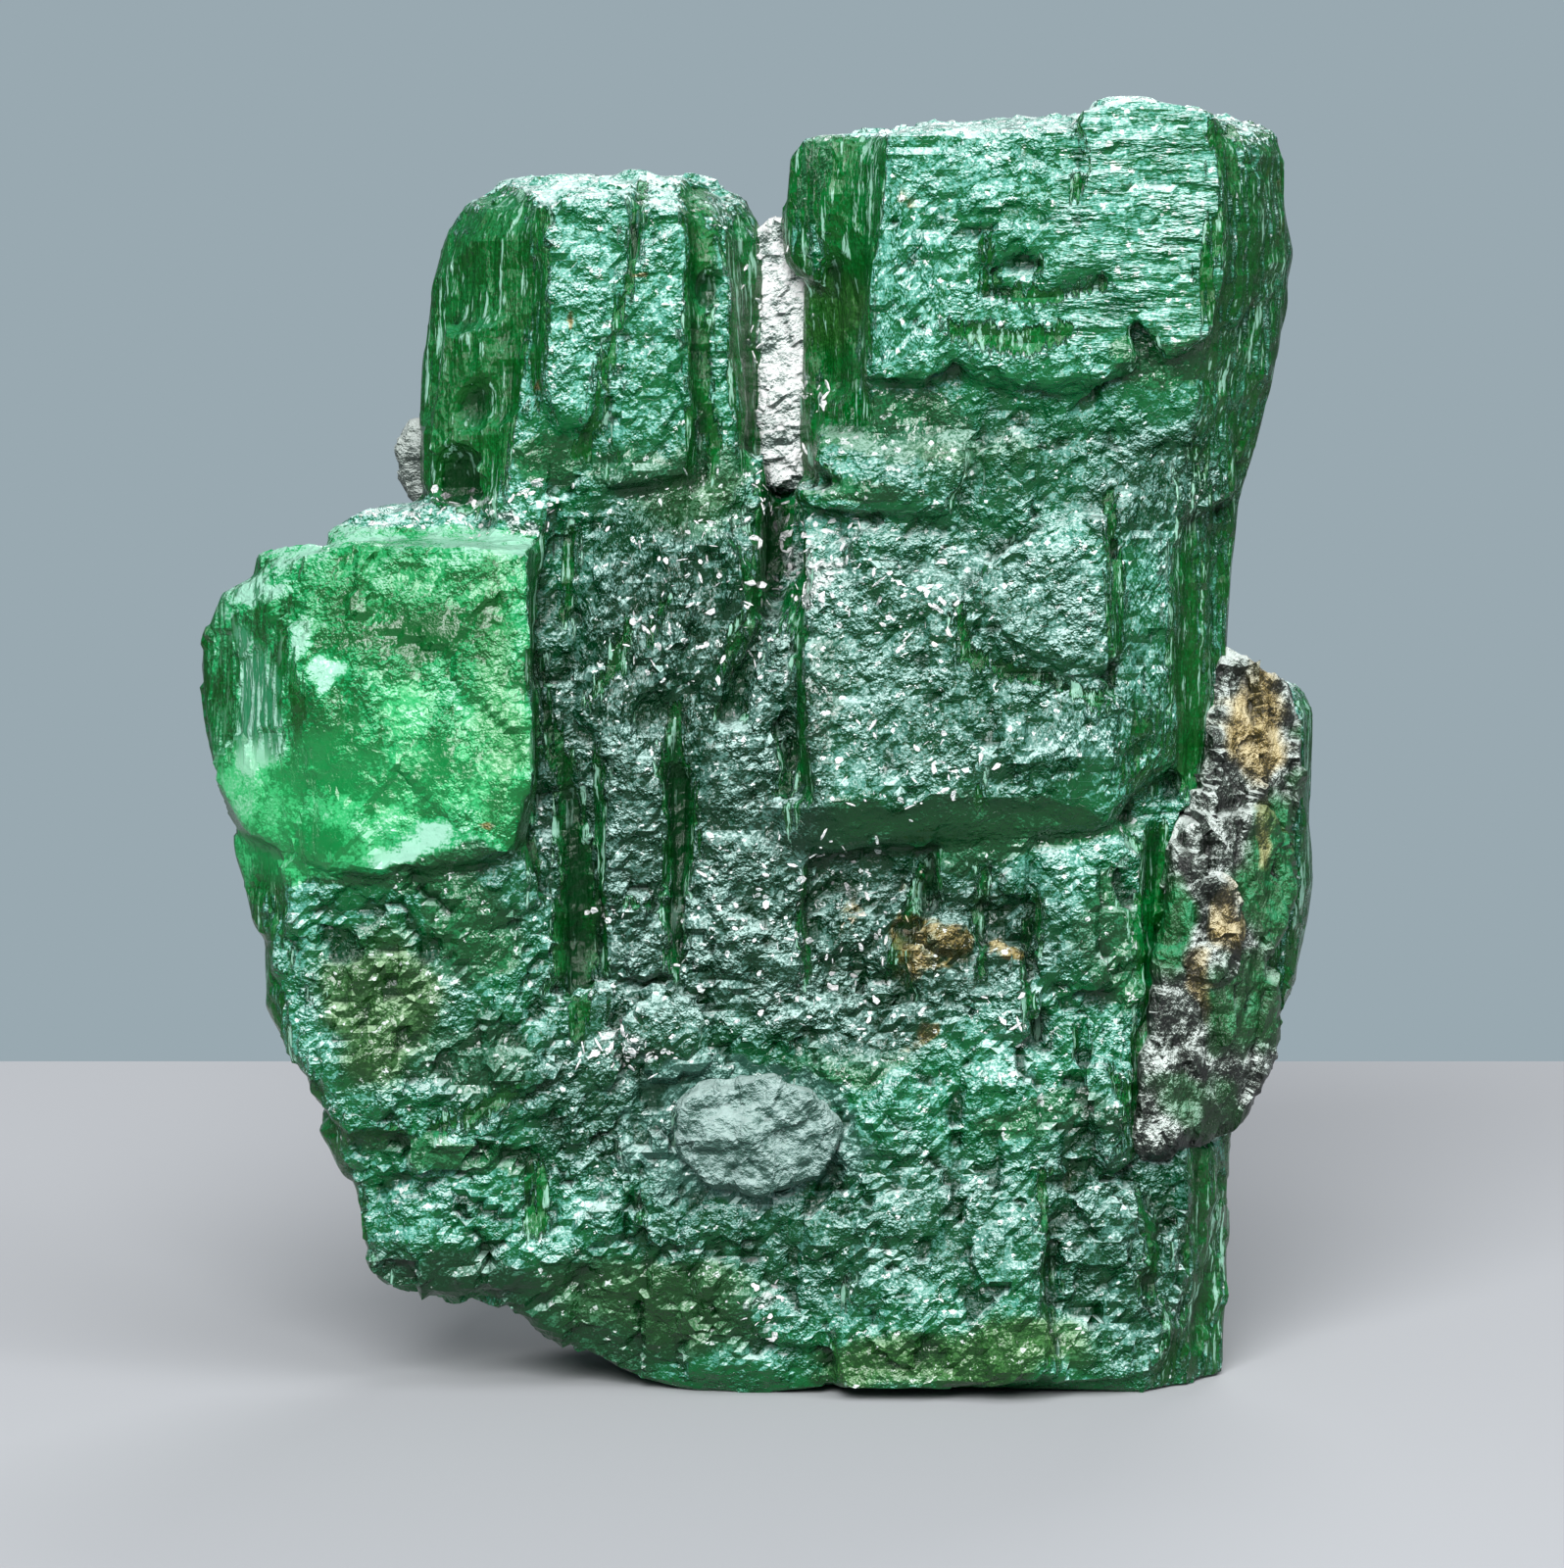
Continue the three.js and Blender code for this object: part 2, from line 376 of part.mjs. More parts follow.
const gem = [
  block(GEM_FACE, [[-7.3, 12.9, -0.75], [-6.6, 13.1, -0.55], [-5.6, 13.15, -0.25], [-3.86, 13.1, 0.1],
    [-3.84, 9.6, 0.3], [-4.1, 8.4, 0.2], [-5.4, 8.1, -0.05], [-6.9, 8.1, -0.4], [-7.6, 8.5, -0.85],
    [-8.2, 8.6, -1.3], [-8.75, 9.6, -1.6], [-8.97, 10.8, -1.75], [-8.95, 11.6, -1.75],
    [-8.6, 12.3, -1.5], [-7.9, 12.5, -1.1], [-7.4, 11.9, -0.5], [-7.1, 9.4, -0.33], [-7.7, 11.6, -0.72],
    [-7.7, 9.8, -0.72], [-8.4, 10.9, -1.35]], { foot: -0.4 }),
  block(-2.9, [[-8.1, 12.9, -0.4], [-7.5, 13.1, -0.2], [-6.6, 12.9, 0.3], [-7.2, 12.2, 0.3],
    [-7.9, 12.4, 0]], { foot: -0.4 }),
  block(-2.2, [[-7.1, 13.3, -0.3], [-6.4, 13.6, -0.3], [-5.4, 13.68, -0.2], [-4.4, 13.65, -0.2],
    [-3.7, 13.5, 0], [-3.8, 12.6, 0.9], [-6.9, 12.8, 0.6]], { foot: 0.8 }),
];
const gemHollows = [
  hollow([-7.6, -3.85, 12.0], [0.2, 0.6, 0.75], 0.6),
  hollow([-7.3, -4.0, 11.0], [0.16, 0.5, 0.75], 0.2),
  hollow([-5.2, -4.8, 11.0], [0.9, 0.9, 0.45], 0.3),
  hollow([-5.9, -4.6, 9.5], [0.6, 0.85, 0.35], -0.3),
  hollow([-4.3, -4.7, 8.7], [0.4, 0.7, 0.5]),
];
const lowerLeft = [
  block(-2.5, [[-7.7, 8.4, -0.6], [-3.5, 8.6, 0], [-3.2, 3.0, 0], [-6.2, 3.0, -0.4], [-7.3, 5.0, -0.6]],
    { foot: -0.4 }),
  block(-3.3, [[-7.7, 8.4, -0.4], [-6.4, 8.4, 0], [-4.0, 8.6, 0], [-3.75, 7.6, -0.1], [-5.2, 7.0, 0.05],
    [-7.6, 7.2, -0.3]], { foot: -0.4, left: 0.3 }),
  block(-2.2, [[-8.45, 8.6, -0.5], [-8.0, 8.7, 0], [-7.5, 8.3, 0.6], [-7.4, 7.2, 0.6], [-8.05, 7.1, 0],
    [-8.2, 7.7, -0.3]], { foot: 0 }),
  block(-3.1, [[-7.85, 7.2, -0.6], [-7.3, 7.3, -0.2], [-4.6, 7.1, 0.1], [-3.6, 7.6, -0.2],
    [-3.3, 6.5, -0.2], [-4.4, 5.6, 0.1], [-6.0, 4.9, 0.1], [-6.9, 4.6, 0], [-7.6, 5.3, -0.5],
    [-7.95, 6.0, -0.8]], { foot: -0.4, left: 0.1 }),
  block(-2.9, [[-7.3, 4.8, -0.3], [-5.9, 5.0, 0.3], [-5.6, 4.1, 0.25], [-6.7, 4.0, 0.1]],
    { foot: -0.5 }),
  block(-2.8, [[-6.0, 5.4, 0.2], [-4.4, 5.8, 0.25], [-2.8, 6.3, 0.1], [-2.5, 4.9, 0.1], [-4.4, 4.1, 0.2],
    [-5.8, 4.3, 0.2]], { foot: -0.6, ends: 0.3 }),
  block(-2.6, [[-7.15, 4.15, -0.4], [-6.4, 4.3, 0], [-4.4, 4.4, 0.2], [-2.7, 4.9, 0.15],
    [-2.5, 4.0, 0.1], [-4.6, 3.5, 0], [-6.7, 3.4, -0.3]], { foot: -0.2, ends: 0.2 }),
  block(-2.4, [[-6.62, 3.6, -0.4], [-5.0, 3.6, 0.1], [-3.4, 3.6, 0.2], [-1.8, 3.7, 0.25],
    [-1.9, 2.4, 0.3], [-4, 2.3, 0.2], [-5.6, 2.25, 0], [-6.5, 2.4, -0.3]], { foot: 0 }),
  block(-2.3, [[-6.45, 2.45, -0.1], [-4.6, 2.5, 0.3], [-1.9, 2.6, 0.4], [-2.4, 2.0, 0.3],
    [-4.7, 1.66, 0], [-5.95, 1.68, -0.3], [-6.3, 2.0, -0.3]], { foot: 0.4 }),
  block(-2.2, [[-4.9, 2.2, 0.1], [-1.6, 2.4, 0.45], [0.4, 1.5, 0.4], [0.6, 0.1, 0.1], [-1.0, -0.1, -0.2],
    [-1.8, 0.1, -0.45], [-2.5, 0.3, -0.5], [-3.2, 0.7, -0.5], [-3.9, 1.1, -0.4], [-4.75, 1.55, -0.3]],
    { foot: 0.8 }),
];
const lowerLeftPlates = [
  plate([-6.6, -3.22, 6.3], [0.9, 0.9], [-12, 6]),
  plate([-5.2, -3.25, 6.2], [1.1, 0.7], [6, -8]),
  plate([-4.3, -3.12, 5.0], [1.2, 0.6], [-6, 8]),
  plate([-5.0, -2.88, 3.85], [1.3, 0.5], [7, -6]),
];
const lowerLeftPits = [
  hollow([-6.2, -3.7, 7.0], [0.9, 0.6, 0.3], 0.1),
  hollow([-5.6, -3.6, 5.4], [1.0, 0.55, 0.5], -0.3),
  hollow([-7.6, -3.2, 6.0], [0.6, 0.6, 0.9]),
  hollow([-3.9, -3.5, 6.9], [0.5, 0.6, 0.7]),
];

// The short crystal behind the right side, which carries the schist

const rearCrystal = crystal(
  [[5.9, 0.2], [7.2, -0.9], [8.1, -0.3], [8.25, 1.6], [7.2, 3.0], [5.9, 2.8]],
  [
    { z: 3.9, scale: 0.45, shift: [-0.65, 0] },
    { z: 5.2, scale: 0.74, shift: [-0.35, 0] },
    { z: 6.2, scale: 0.92, shift: [-0.16, 0] },
    { z: 7.7, scale: 1.02 },
    { z: 8.4, scale: 1.01 },
    { z: 9.5, scale: 0.96, shift: [-0.06, 0] },
    { z: 10.6, scale: 1, slope: [-0.04, 0] },
    { z: 10.98, scale: 0.85, slope: [-0.08, 0] },
  ],
);

// The back: the crystals' rear faces, stepped where they broke off

const rearFaces = [
  block(3.3, [[2.1, 19.3, 0.05], [5.4, 19.4, 0], [5.5, 14.6, -0.15], [4.2, 13.9, -0.2],
    [2.0, 14.4, -0.1]], { foot: 1 }),
  block(2.8, [[5.6, 19.2, 0.1], [6.5, 19.1, 0.6], [6.6, 15.2, 0.5], [5.7, 14.8, 0]], { foot: 1 }),
  block(3.6, [[1.4, 13.9, 0], [4.9, 14.0, 0.1], [5.0, 8.0, 0], [3.0, 7.2, -0.1], [1.2, 7.6, 0]],
    { foot: 1 }),
  block(3.3, [[5.1, 13.8, 0.1], [6.2, 13.6, 0.7], [6.1, 8.2, 0.6], [5.1, 7.9, 0]], { foot: 1 }),
  block(3.75, [[0.6, 7.4, 0.1], [4.6, 7.6, 0], [5.0, 0.4, 0.1], [1.2, 0.2, 0.05]], { foot: 1 }),
  block(3.0, [[-4.4, 17.4, 0.2], [-2.2, 17.8, 0], [-2.0, 12.8, -0.1], [-4.4, 12.4, 0.1]],
    { foot: 1, left: 0.3 }),
  block(2.5, [[-1.9, 17.6, 0], [-0.7, 17.3, 0.4], [-0.6, 13.2, 0.3], [-1.9, 12.8, -0.2]], { foot: 1 }),
  block(3.4, [[-4.9, 12.3, 0.3], [-1.4, 12.6, 0], [-1.2, 6.2, -0.1], [-3.0, 5.4, 0], [-5.0, 6.0, 0.2]],
    { foot: 1, left: 0.4 }),
  block(3.7, [[-1.1, 11.4, 0.3], [0.9, 11.8, 0.1], [0.8, 3.4, 0], [-1.2, 2.8, 0.1]], { foot: 1 }),
  block(3.2, [[-4.4, 5.6, 0.2], [-1.3, 5.4, -0.2], [-1.0, 1.0, 0], [-3.2, 1.5, 0.3], [-4.2, 2.8, 0.4]],
    { foot: 1 }),
  block(1.6, [[-8.4, 11.6, 0.7], [-7.2, 12.7, 0.3], [-5.4, 12.9, 0], [-5.3, 8.4, -0.3], [-7.6, 8.0, 0.2],
    [-8.5, 9.0, 0.7]], { foot: -1.5 }),
  block(2.3, [[-7.6, 8.0, 0.9], [-6.0, 8.4, 0.2], [-4.8, 8.2, -0.2], [-4.7, 4.2, 0], [-6.4, 4.0, 0.6],
    [-7.4, 5.2, 1.1]], { foot: -1.5 }),
];
const rearHollows = [
  hollow([-0.2, 4.5, 12.6], [1.3, 1.5, 1.0], 0.3),
  hollow([3.0, 4.9, 14.2], [1.8, 1.5, 0.9], -0.2),
  hollow([-3.4, 4.4, 12.6], [1.2, 1.3, 0.7], 0.2),
  hollow([2.6, 5.0, 7.5], [1.5, 1.5, 0.8], 0.2),
  hollow([-1.3, 4.9, 4.6], [1.2, 1.5, 1.0], -0.3),
  hollow([-6.4, 3.2, 8.4], [1.3, 1.2, 0.6]),
  hollow([5.6, 4.3, 14.0], [0.9, 1.3, 0.6]),
];

// Minerals in pockets of the emerald, which are larger than them by the gap. Each is a
// few lumps that have grown into one.

const grown = (points, by) => {
  const centre = points.reduce((sum, p) => sum.map((s, i) => s + p[i] / points.length), [0, 0, 0]);
  return points.map((p) => {
    const out = p.map((value, i) => value - centre[i]);
    const length = Math.hypot(...out);
    return p.map((value, i) => value + (out[i] / length) * by);
  });
};

const schistLumps = [
  [[6.95, -1.3, 11.25], [7.7, -1.0, 10.95], [7.8, -0.8, 9.3], [7.4, -1.4, 8.0], [6.3, -2.2, 8.4],
    [6.6, -1.9, 10], [7.0, 0.2, 11.1], [7.7, 0.2, 10.8], [6.9, 0, 8.2]],
  [[6.3, -2.3, 8.8], [7.5, -1.6, 8.9], [7.85, -1.2, 7.6], [6.9, -2.0, 5.9], [5.95, -2.4, 6.3],
    [6.1, -1, 8.4], [7.5, -0.2, 7.8], [6.6, -0.4, 5.6]],
  [[5.95, -2.4, 6.6], [7.4, -1.6, 6.8], [7.45, -1.0, 5.4], [6.9, -1.2, 4.3], [5.9, -2.5, 3.9],
    [5.4, -2.6, 3.6], [5.5, -2.7, 4.8], [6.6, 0, 5.4], [6.2, -0.8, 3.9]],
  [[6.1, -2.45, 7.6], [6.6, -2.6, 8.0], [7.0, -2.2, 7.2], [6.6, -2.5, 6.4], [6.0, -2.5, 6.8],
    [6.4, -1.2, 7.2]],
];
const seamLumps = [
  [[-0.3, -0.9, 17.9], [0.1, -0.9, 17.95], [0.25, -1.0, 16.6], [0.22, -1.0, 14.2], [-0.2, -1.0, 14.0],
    [-0.25, 0.6, 17.8], [0.1, 0.6, 17.8], [0.2, 0.4, 14.2], [-0.2, 0.4, 14.2]],
];
const patchLumps = [
  [[-5.9, 1.2, 14.9], [-5.95, 1.6, 14.2], [-5.7, 1.1, 13.75], [-4.6, 2.0, 13.8], [-4.7, 1.1, 14.0],
    [-4.8, 2.4, 14.9], [-4.9, 1.1, 15.05], [-5.3, 2.5, 14.3]],
];
const quartzLumps = [
  [[-1.5, -3.2, 4.5], [-0.5, -3.45, 4.75], [0.3, -3.4, 4.5], [0.75, -3.2, 4.0], [0.5, -3.25, 3.45],
    [-0.4, -3.45, 3.3], [-1.2, -3.2, 3.4], [-1.6, -3.0, 3.9], [-0.4, -3.6, 4.1], [-1.2, -2.2, 4.4],
    [0.2, -2.2, 4.3], [-0.4, -2.2, 3.6]],
];

const lumps = (list) => join(list.map(hull));
const pockets = (list) => join(list.map((points) => hull(grown(points, GAP))));

// Joining

const belowBase = () => {
  const floor = new THREE.BoxGeometry(40, 40, 10);
  floor.translate(0, 0, -5);
  floor.rotateX(LEAN);
  floor.translate(0, 0, BASE);
  return solidOf(floor);
};

const grownTogether = cut(
  join([
    cut(join([upperTier, ...upperFaces]), upperHollows),
    cut(join([leftCrystal, ...leftFaces]), leftHollows),
    cut(join(gem), gemHollows),
    cut(join([tallCore, ...middleTier, ...lowerTier]), lowerPits),
    cut(join([...body, ...bodyColumns]), bodyPits),
    cut(join([...lowerLeft, ...lowerLeftPlates]), lowerLeftPits),
    ...behindColumns, ...lowerFront, ...brokenBlocks, ...brokenPlates,
    paleFacet, lipUnderUpper, rearCrystal,
    cut(join(rearFaces), rearHollows),
  ]),
  [slot, ...[schistLumps, seamLumps, patchLumps, quartzLumps].map(pockets), belowBase()],
);
const emerald = largest(grownTogether);

// Triangles without slivers, small enough for the surface to be worn

const neighboursOf = (vertex, around, faces) => {
  const found = new Set([...around[vertex]].flatMap((i) => faces[i]));
  found.delete(vertex);
  return found;
};

const normalOf = (points, [a, b, c]) =>
  new THREE.Triangle(points[a], points[b], points[c]).getNormal(new THREE.Vector3());

// True if moving both ends of an edge to one point turns no face round it over.
const LEAST_LIKENESS = 0.2; // cosine between a face's old and new directions
const staysUpright = (points, faces, touching, from, to, place) =>
  touching.every((i) => {
    const face = faces[i];
    if (face.includes(from) && face.includes(to)) return true;
    const before = normalOf(points, face);
    const after = new THREE.Triangle(
      ...face.map((v) => (v === from || v === to ? place : points[v])),
    ).getNormal(new THREE.Vector3());
    return after.lengthSq() > 0 && before.dot(after) > LEAST_LIKENESS;
  });

// Closes edges shorter than `shortest`, keeping the surface closed.
const closeShortEdges = (points, faces, shortest) => {
  for (let changed = true; changed; ) {
    changed = false;
    const around = points.map(() => new Set());
    faces.forEach((face, i) => face.forEach((v) => around[v].add(i)));
    const busy = new Set();
    for (const face of faces.map((f) => [...f])) {
      for (let k = 0; k < 3; k++) {
        const [a, b] = [face[k], face[(k + 1) % 3]];
        if (a > b || busy.has(a) || busy.has(b)) continue;
        if (points[a].distanceTo(points[b]) >= shortest) continue;
        const near = [neighboursOf(a, around, faces), neighboursOf(b, around, faces)];
        if ([...near[0]].filter((v) => near[1].has(v)).length !== 2) continue;
        const touching = [...new Set([...around[a], ...around[b]])];
        const middle = points[a].clone().lerp(points[b], 0.5);
        const place = [points[a], points[b], middle].find((spot) =>
          staysUpright(points, faces, touching, b, a, spot),
        );
        if (!place) continue;
        points[a] = place.clone();
        touching.forEach((i) => (faces[i] = faces[i].map((v) => (v === b ? a : v))));
        [a, b, ...near[0], ...near[1]].forEach((v) => busy.add(v));
        changed = true;
      }
    }
    faces = faces.filter(([a, b, c]) => a !== b && b !== c && c !== a);
  }
  return faces;
};

// Splits edges longer than `longest` in half, on both their faces, until none is left.
const splitLongEdges = (points, faces, longest) => {
  for (;;) {
    const halves = new Map();
    const half = (a, b) => {
      const key = a < b ? a + "," + b : b + "," + a;
      if (!halves.has(key)) {
        const long = points[a].distanceTo(points[b]) > longest;
        halves.set(key, long ? points.push(points[a].clone().lerp(points[b], 0.5)) - 1 : null);
      }
      return halves.get(key);
    };
    const split = [];
    for (const [a, b, c] of faces) {
      const middles = [half(a, b), half(b, c), half(c, a)];
      const count = middles.filter((m) => m !== null).length;
      // Turns the face so that its first middle is there and, of two, its last isn't.
      let [[p, q, r], [m, n, o]] = [[a, b, c], middles];
      while (count && (m === null || (count === 2 && o !== null))) {
        [p, q, r] = [q, r, p];
        [m, n, o] = [n, o, m];
      }
      if (count === 0) split.push([p, q, r]);
      if (count === 1) split.push([p, m, r], [m, q, r]);
      if (count === 2) split.push([m, q, n], [p, m, n], [p, n, r]);
      if (count === 3) split.push([p, m, o], [m, q, n], [o, n, r], [m, n, o]);
    }
    if (split.length === faces.length) return faces;
    faces = split;
  }
};

// Wear: how far corners are drawn in, as a share of the way to their neighbours, then the
// height and size of lumps and grooves, and the height above the base where all is worn.
const WEAR = {
  blunt: 0.1,
  lump: 0.14,
  lumpSize: 1.7,
  groove: 0.1,
  grooveSize: 0.6,
  grooveLength: 5,
  fade: 0.8,
};
const WEAR_SEEDS = [11.3, 27.1, 43.7]; // one for each axis
const noise = new ImprovedNoise();

// How much wear a point has had: none at the fresh, flat break of the base.
const wornShare = ({ y, z }) =>
  THREE.MathUtils.smoothstep((z - BASE) * Math.cos(LEAN) - y * Math.sin(LEAN), 0.02, WEAR.fade);

// Draws every corner in, towards the middle of its neighbours.
const blunt = (points, faces) => {
  const sums = points.map(() => new THREE.Vector3());
  const counts = points.map(() => 0);
  for (const face of faces) {
    face.forEach((v, k) => {
      sums[v].add(points[face[(k + 1) % 3]]);
      counts[v]++;
    });
  }
  return points.map((point, v) =>
    counts[v] ? point.clone().lerp(sums[v].divideScalar(counts[v]), WEAR.blunt * wornShare(point)) : point,
  );
};

// Moves a point as etching has: by lumps, and by finer grooves that run along the crystals.
const etched = (point) => {
  const sample = (size, length, seed) =>
    noise.noise(point.x / size + seed, point.y / size + seed, point.z / length - seed);
  const moved = WEAR_SEEDS.map(
    (seed) =>
      sample(WEAR.lumpSize, WEAR.lumpSize, seed) * WEAR.lump +
      sample(WEAR.grooveSize, WEAR.grooveLength, seed) * WEAR.groove,
  );
  return new THREE.Vector3(...moved).multiplyScalar(wornShare(point)).add(point);
};

const SHORTEST = 0.14; // edges, before wear
const LONGEST = 1.8;
const geometryOf = (solid) => {
  const mesh = solid.getMesh();
  const points = Array.from({ length: mesh.numVert }, (_, i) =>
    new THREE.Vector3().fromArray(mesh.vertProperties, i * mesh.numProp),
  );
  let faces = Array.from({ length: mesh.numTri }, (_, i) => [...mesh.triVerts.subarray(i * 3, i * 3 + 3)]);
  faces = closeShortEdges(points, faces, SHORTEST);
  faces = splitLongEdges(points, faces, LONGEST);
  const worn = blunt(points, faces).map(etched);
  const corners = faces.flat().flatMap((v) => worn[v].toArray());
  const geometry = new THREE.BufferGeometry();
  geometry.setAttribute("position", new THREE.Float32BufferAttribute(corners, 3));
  geometry.computeVertexNormals();
  return geometry;
};

const piece = (name, solid, material) => {
  const made = new THREE.Mesh(geometryOf(solid), new THREE.MeshStandardMaterial(material));
  made.name = name;
  return made;
};

const group = new THREE.Group();
group.add(
  piece("emerald_cluster", emerald, { color: 0x1c6b3a, roughness: 0.3, metalness: 0 }),
  piece("mica_schist", lumps(schistLumps), { color: 0x8b867c, roughness: 0.55, metalness: 0 }),
  piece("mica_seam", lumps(seamLumps), { color: 0xdfe6e2, roughness: 0.4, metalness: 0 }),
  piece("mica_patch", lumps(patchLumps), { color: 0xcfd6cf, roughness: 0.45, metalness: 0 }),
  piece("quartz_grain", lumps(quartzLumps), { color: 0xa9c4bb, roughness: 0.3, metalness: 0 }),
);
group.rotation.x = -LEAN;
group.updateMatrixWorld(true);
const reach = new THREE.Box3().setFromObject(group, true);
const middle = reach.getCenter(new THREE.Vector3());
group.position.set(-middle.x, -middle.y, -reach.min.z);

export default group;
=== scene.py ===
# %% [markdown]
# # An emerald crystal cluster
#
# The real thing is about 20 mm tall: two upright beryl crystals, a bright gem-clear one
# low at the left, a broken body that they all grow from, and a short crystal at the back
# right. Mica schist, white mica and a quartz grain grew with them. This lesson dresses
# the plain faceted solids in what the eye sees: etched and striated faces, broken
# ground, flakes of mica, and a green that is clear in one place and frosted in the next.

import math

import bpy
import numpy as np
from mathutils import Matrix, Vector


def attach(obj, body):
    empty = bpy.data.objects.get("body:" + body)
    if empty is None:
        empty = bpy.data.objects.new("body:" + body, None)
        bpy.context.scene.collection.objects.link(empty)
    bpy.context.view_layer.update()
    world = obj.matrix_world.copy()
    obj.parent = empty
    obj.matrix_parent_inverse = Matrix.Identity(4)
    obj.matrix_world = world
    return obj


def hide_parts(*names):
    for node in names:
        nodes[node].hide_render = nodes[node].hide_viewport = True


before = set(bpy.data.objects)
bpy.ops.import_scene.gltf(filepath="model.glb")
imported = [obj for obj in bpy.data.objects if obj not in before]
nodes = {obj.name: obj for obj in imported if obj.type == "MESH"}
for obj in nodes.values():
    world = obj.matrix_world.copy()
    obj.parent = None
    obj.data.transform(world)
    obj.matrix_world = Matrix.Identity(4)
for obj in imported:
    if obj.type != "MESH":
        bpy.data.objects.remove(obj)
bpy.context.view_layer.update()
print("nodes:", sorted(nodes))

# %% [markdown]
# ## A workbench that stands along the crystals
#
# The crystals lean back by 7 degrees, so patterns that run along them are easier to
# write on axes that lean with them. On this bench x goes to the right, y to the back and
# z along the crystals, in millimetres. A mesh is moved to the bench, worked there, and
# moved back to the frame when it is done.

# %% Bench axes
MM = 0.001
LEAN = math.radians(7)
BENCH_ORIGIN = Vector((0.39310, -1.32280, -0.24814)) * MM
to_frame = Matrix.Translation(BENCH_ORIGIN) @ Matrix.Rotation(-LEAN, 4, "X") @ Matrix.Scale(MM, 4)
to_bench = to_frame.inverted()
print("bench origin in the frame, mm:", [round(v / MM, 3) for v in BENCH_ORIGIN])

# %% [markdown]
# ## The camera
#
# The viewing angle is a little above the horizon, square to the crystals' long axes. A
# long lens from 230 mm away keeps upright edges upright. The frame is 24.4 mm tall, so
# the cluster fills four fifths of it.

# %% Camera
VIEW_ELEVATION = math.radians(8)
VIEW_DISTANCE = 230 * MM
VIEW_HEIGHT = 24.39 * MM
IMAGE_WIDTH, IMAGE_HEIGHT = 1596, 1600
LENS = 100.0

target = Vector((0.36, 0, 9.0)) * MM
outward = Vector((0, -math.cos(VIEW_ELEVATION), math.sin(VIEW_ELEVATION)))
camera_data = bpy.data.cameras.new("camera")
camera_data.lens = LENS
camera_data.sensor_fit = "HORIZONTAL"
camera_data.sensor_width = LENS * VIEW_HEIGHT / VIEW_DISTANCE * IMAGE_WIDTH / IMAGE_HEIGHT
camera_data.clip_start = 0.01
camera_data.clip_end = 5.0
camera = bpy.data.objects.new("camera", camera_data)
camera.location = target + outward * VIEW_DISTANCE
camera.rotation_euler = outward.to_track_quat("Z", "Y").to_euler()
bpy.context.scene.collection.objects.link(camera)
bpy.context.scene.camera = camera
print("camera at, mm:", [round(v / MM, 1) for v in camera.location])

# %% [markdown]
# ## Small helpers for materials
#
# Colours are written as sRGB hex values, because that is how they are read off a
# picture, and one function turns them to the linear light that shaders work in. One more
# function adds a node with its settings and links: a socket is linked, a hex text is a
# colour, and anything else is a plain value.


# %% Helpers for colours and nodes
def linear(hex_colour):
    values = [int(hex_colour[i : i + 2], 16) / 255 for i in (1, 3, 5)]
    return (*[v / 12.92 if v <= 0.04045 else ((v + 0.055) / 1.055) ** 2.4 for v in values], 1.0)


def add_node(tree, kind, inputs=None, out=0, **settings):
    node = tree.nodes.new(kind)
    for name, value in settings.items():
        setattr(node, name, value)
    for key, value in (inputs or {}).items():
        if isinstance(value, bpy.types.NodeSocket):
            tree.links.new(value, node.inputs[key])
        elif isinstance(value, str) and value.startswith("#"):
            node.inputs[key].default_value = linear(value)
        else:
            node.inputs[key].default_value = value
    return node.outputs[out] if node.outputs else node


def new_material(name):
    material = bpy.data.materials.new(name)
    material.use_nodes = True
    material.node_tree.nodes.clear()
    return material, material.node_tree


print("a hex colour in linear light, #02682c:", [round(v, 3) for v in linear("#02682c")])

# %% [markdown]
# ## Floor, backdrop and light
#
# A pale slab ends a little way behind the cluster, and a blue-grey card stands far behind
# it. The room is dim, because a bright one would lay a grey reflection over the deep
# greens. A wide soft box overhead gives the even light. The key is another wide box, a
# little above the camera, because the etched faces look almost straight at the camera:
# every small facet that nods up towards the box mirrors it and turns silver, and the
# others stay green. The beryl's colour also paints this silver on facets that look up, as
# painted highlight, and the green on those that look down, as painted shade. A light from
# behind glows through the clear crystal.


# %% Floor and backdrop
def slab(name, low, high, material):
    xs, ys, zs = zip(low, high)
    corners = [(x, y, z) for z in zs for y in ys for x in xs]
    sides = [(2, 3, 1, 0), (4, 5, 7, 6), (0, 1, 5, 4), (1, 3, 7, 5), (3, 2, 6, 7), (2, 0, 4, 6)]
    mesh = bpy.data.meshes.new(name)
    mesh.from_pydata([[v * MM for v in corner] for corner in corners], [], sides)
    mesh.materials.append(material)
    piece = bpy.data.objects.new(name, mesh)
    bpy.context.scene.collection.objects.link(piece)


# matt board: an even pale ground without a shine
matt_board, tree = new_material("matt_board")
shader = add_node(
    tree,
    "ShaderNodeBsdfPrincipled",
    {"Base Color": "#bdbfc3", "Roughness": 1.0, "Specular IOR Level": 0.1},
)
add_node(tree, "ShaderNodeOutputMaterial", {"Surface": shader})
slab("floor", (-90, -90, -12), (90, 29, 0), matt_board)

# a card with a light of its own, so that it is one even blue-grey from edge to edge
lit_card, tree = new_material("lit_card")
glow = add_node(tree, "ShaderNodeEmission", {"Color": "#99a9b1", "Strength": 1.0})
add_node(tree, "ShaderNodeOutputMaterial", {"Surface": glow})
slab("backdrop", (-90, 300, -90), (90, 302, 40), lit_card)

world = bpy.data.worlds.new("dim_room")
world.use_nodes = True
world.node_tree.nodes["Background"].inputs["Color"].default_value = linear("#656c71")
bpy.context.scene.world = world
bpy.context.scene.view_settings.view_transform = "Standard"
print("floor, backdrop and a dim room")

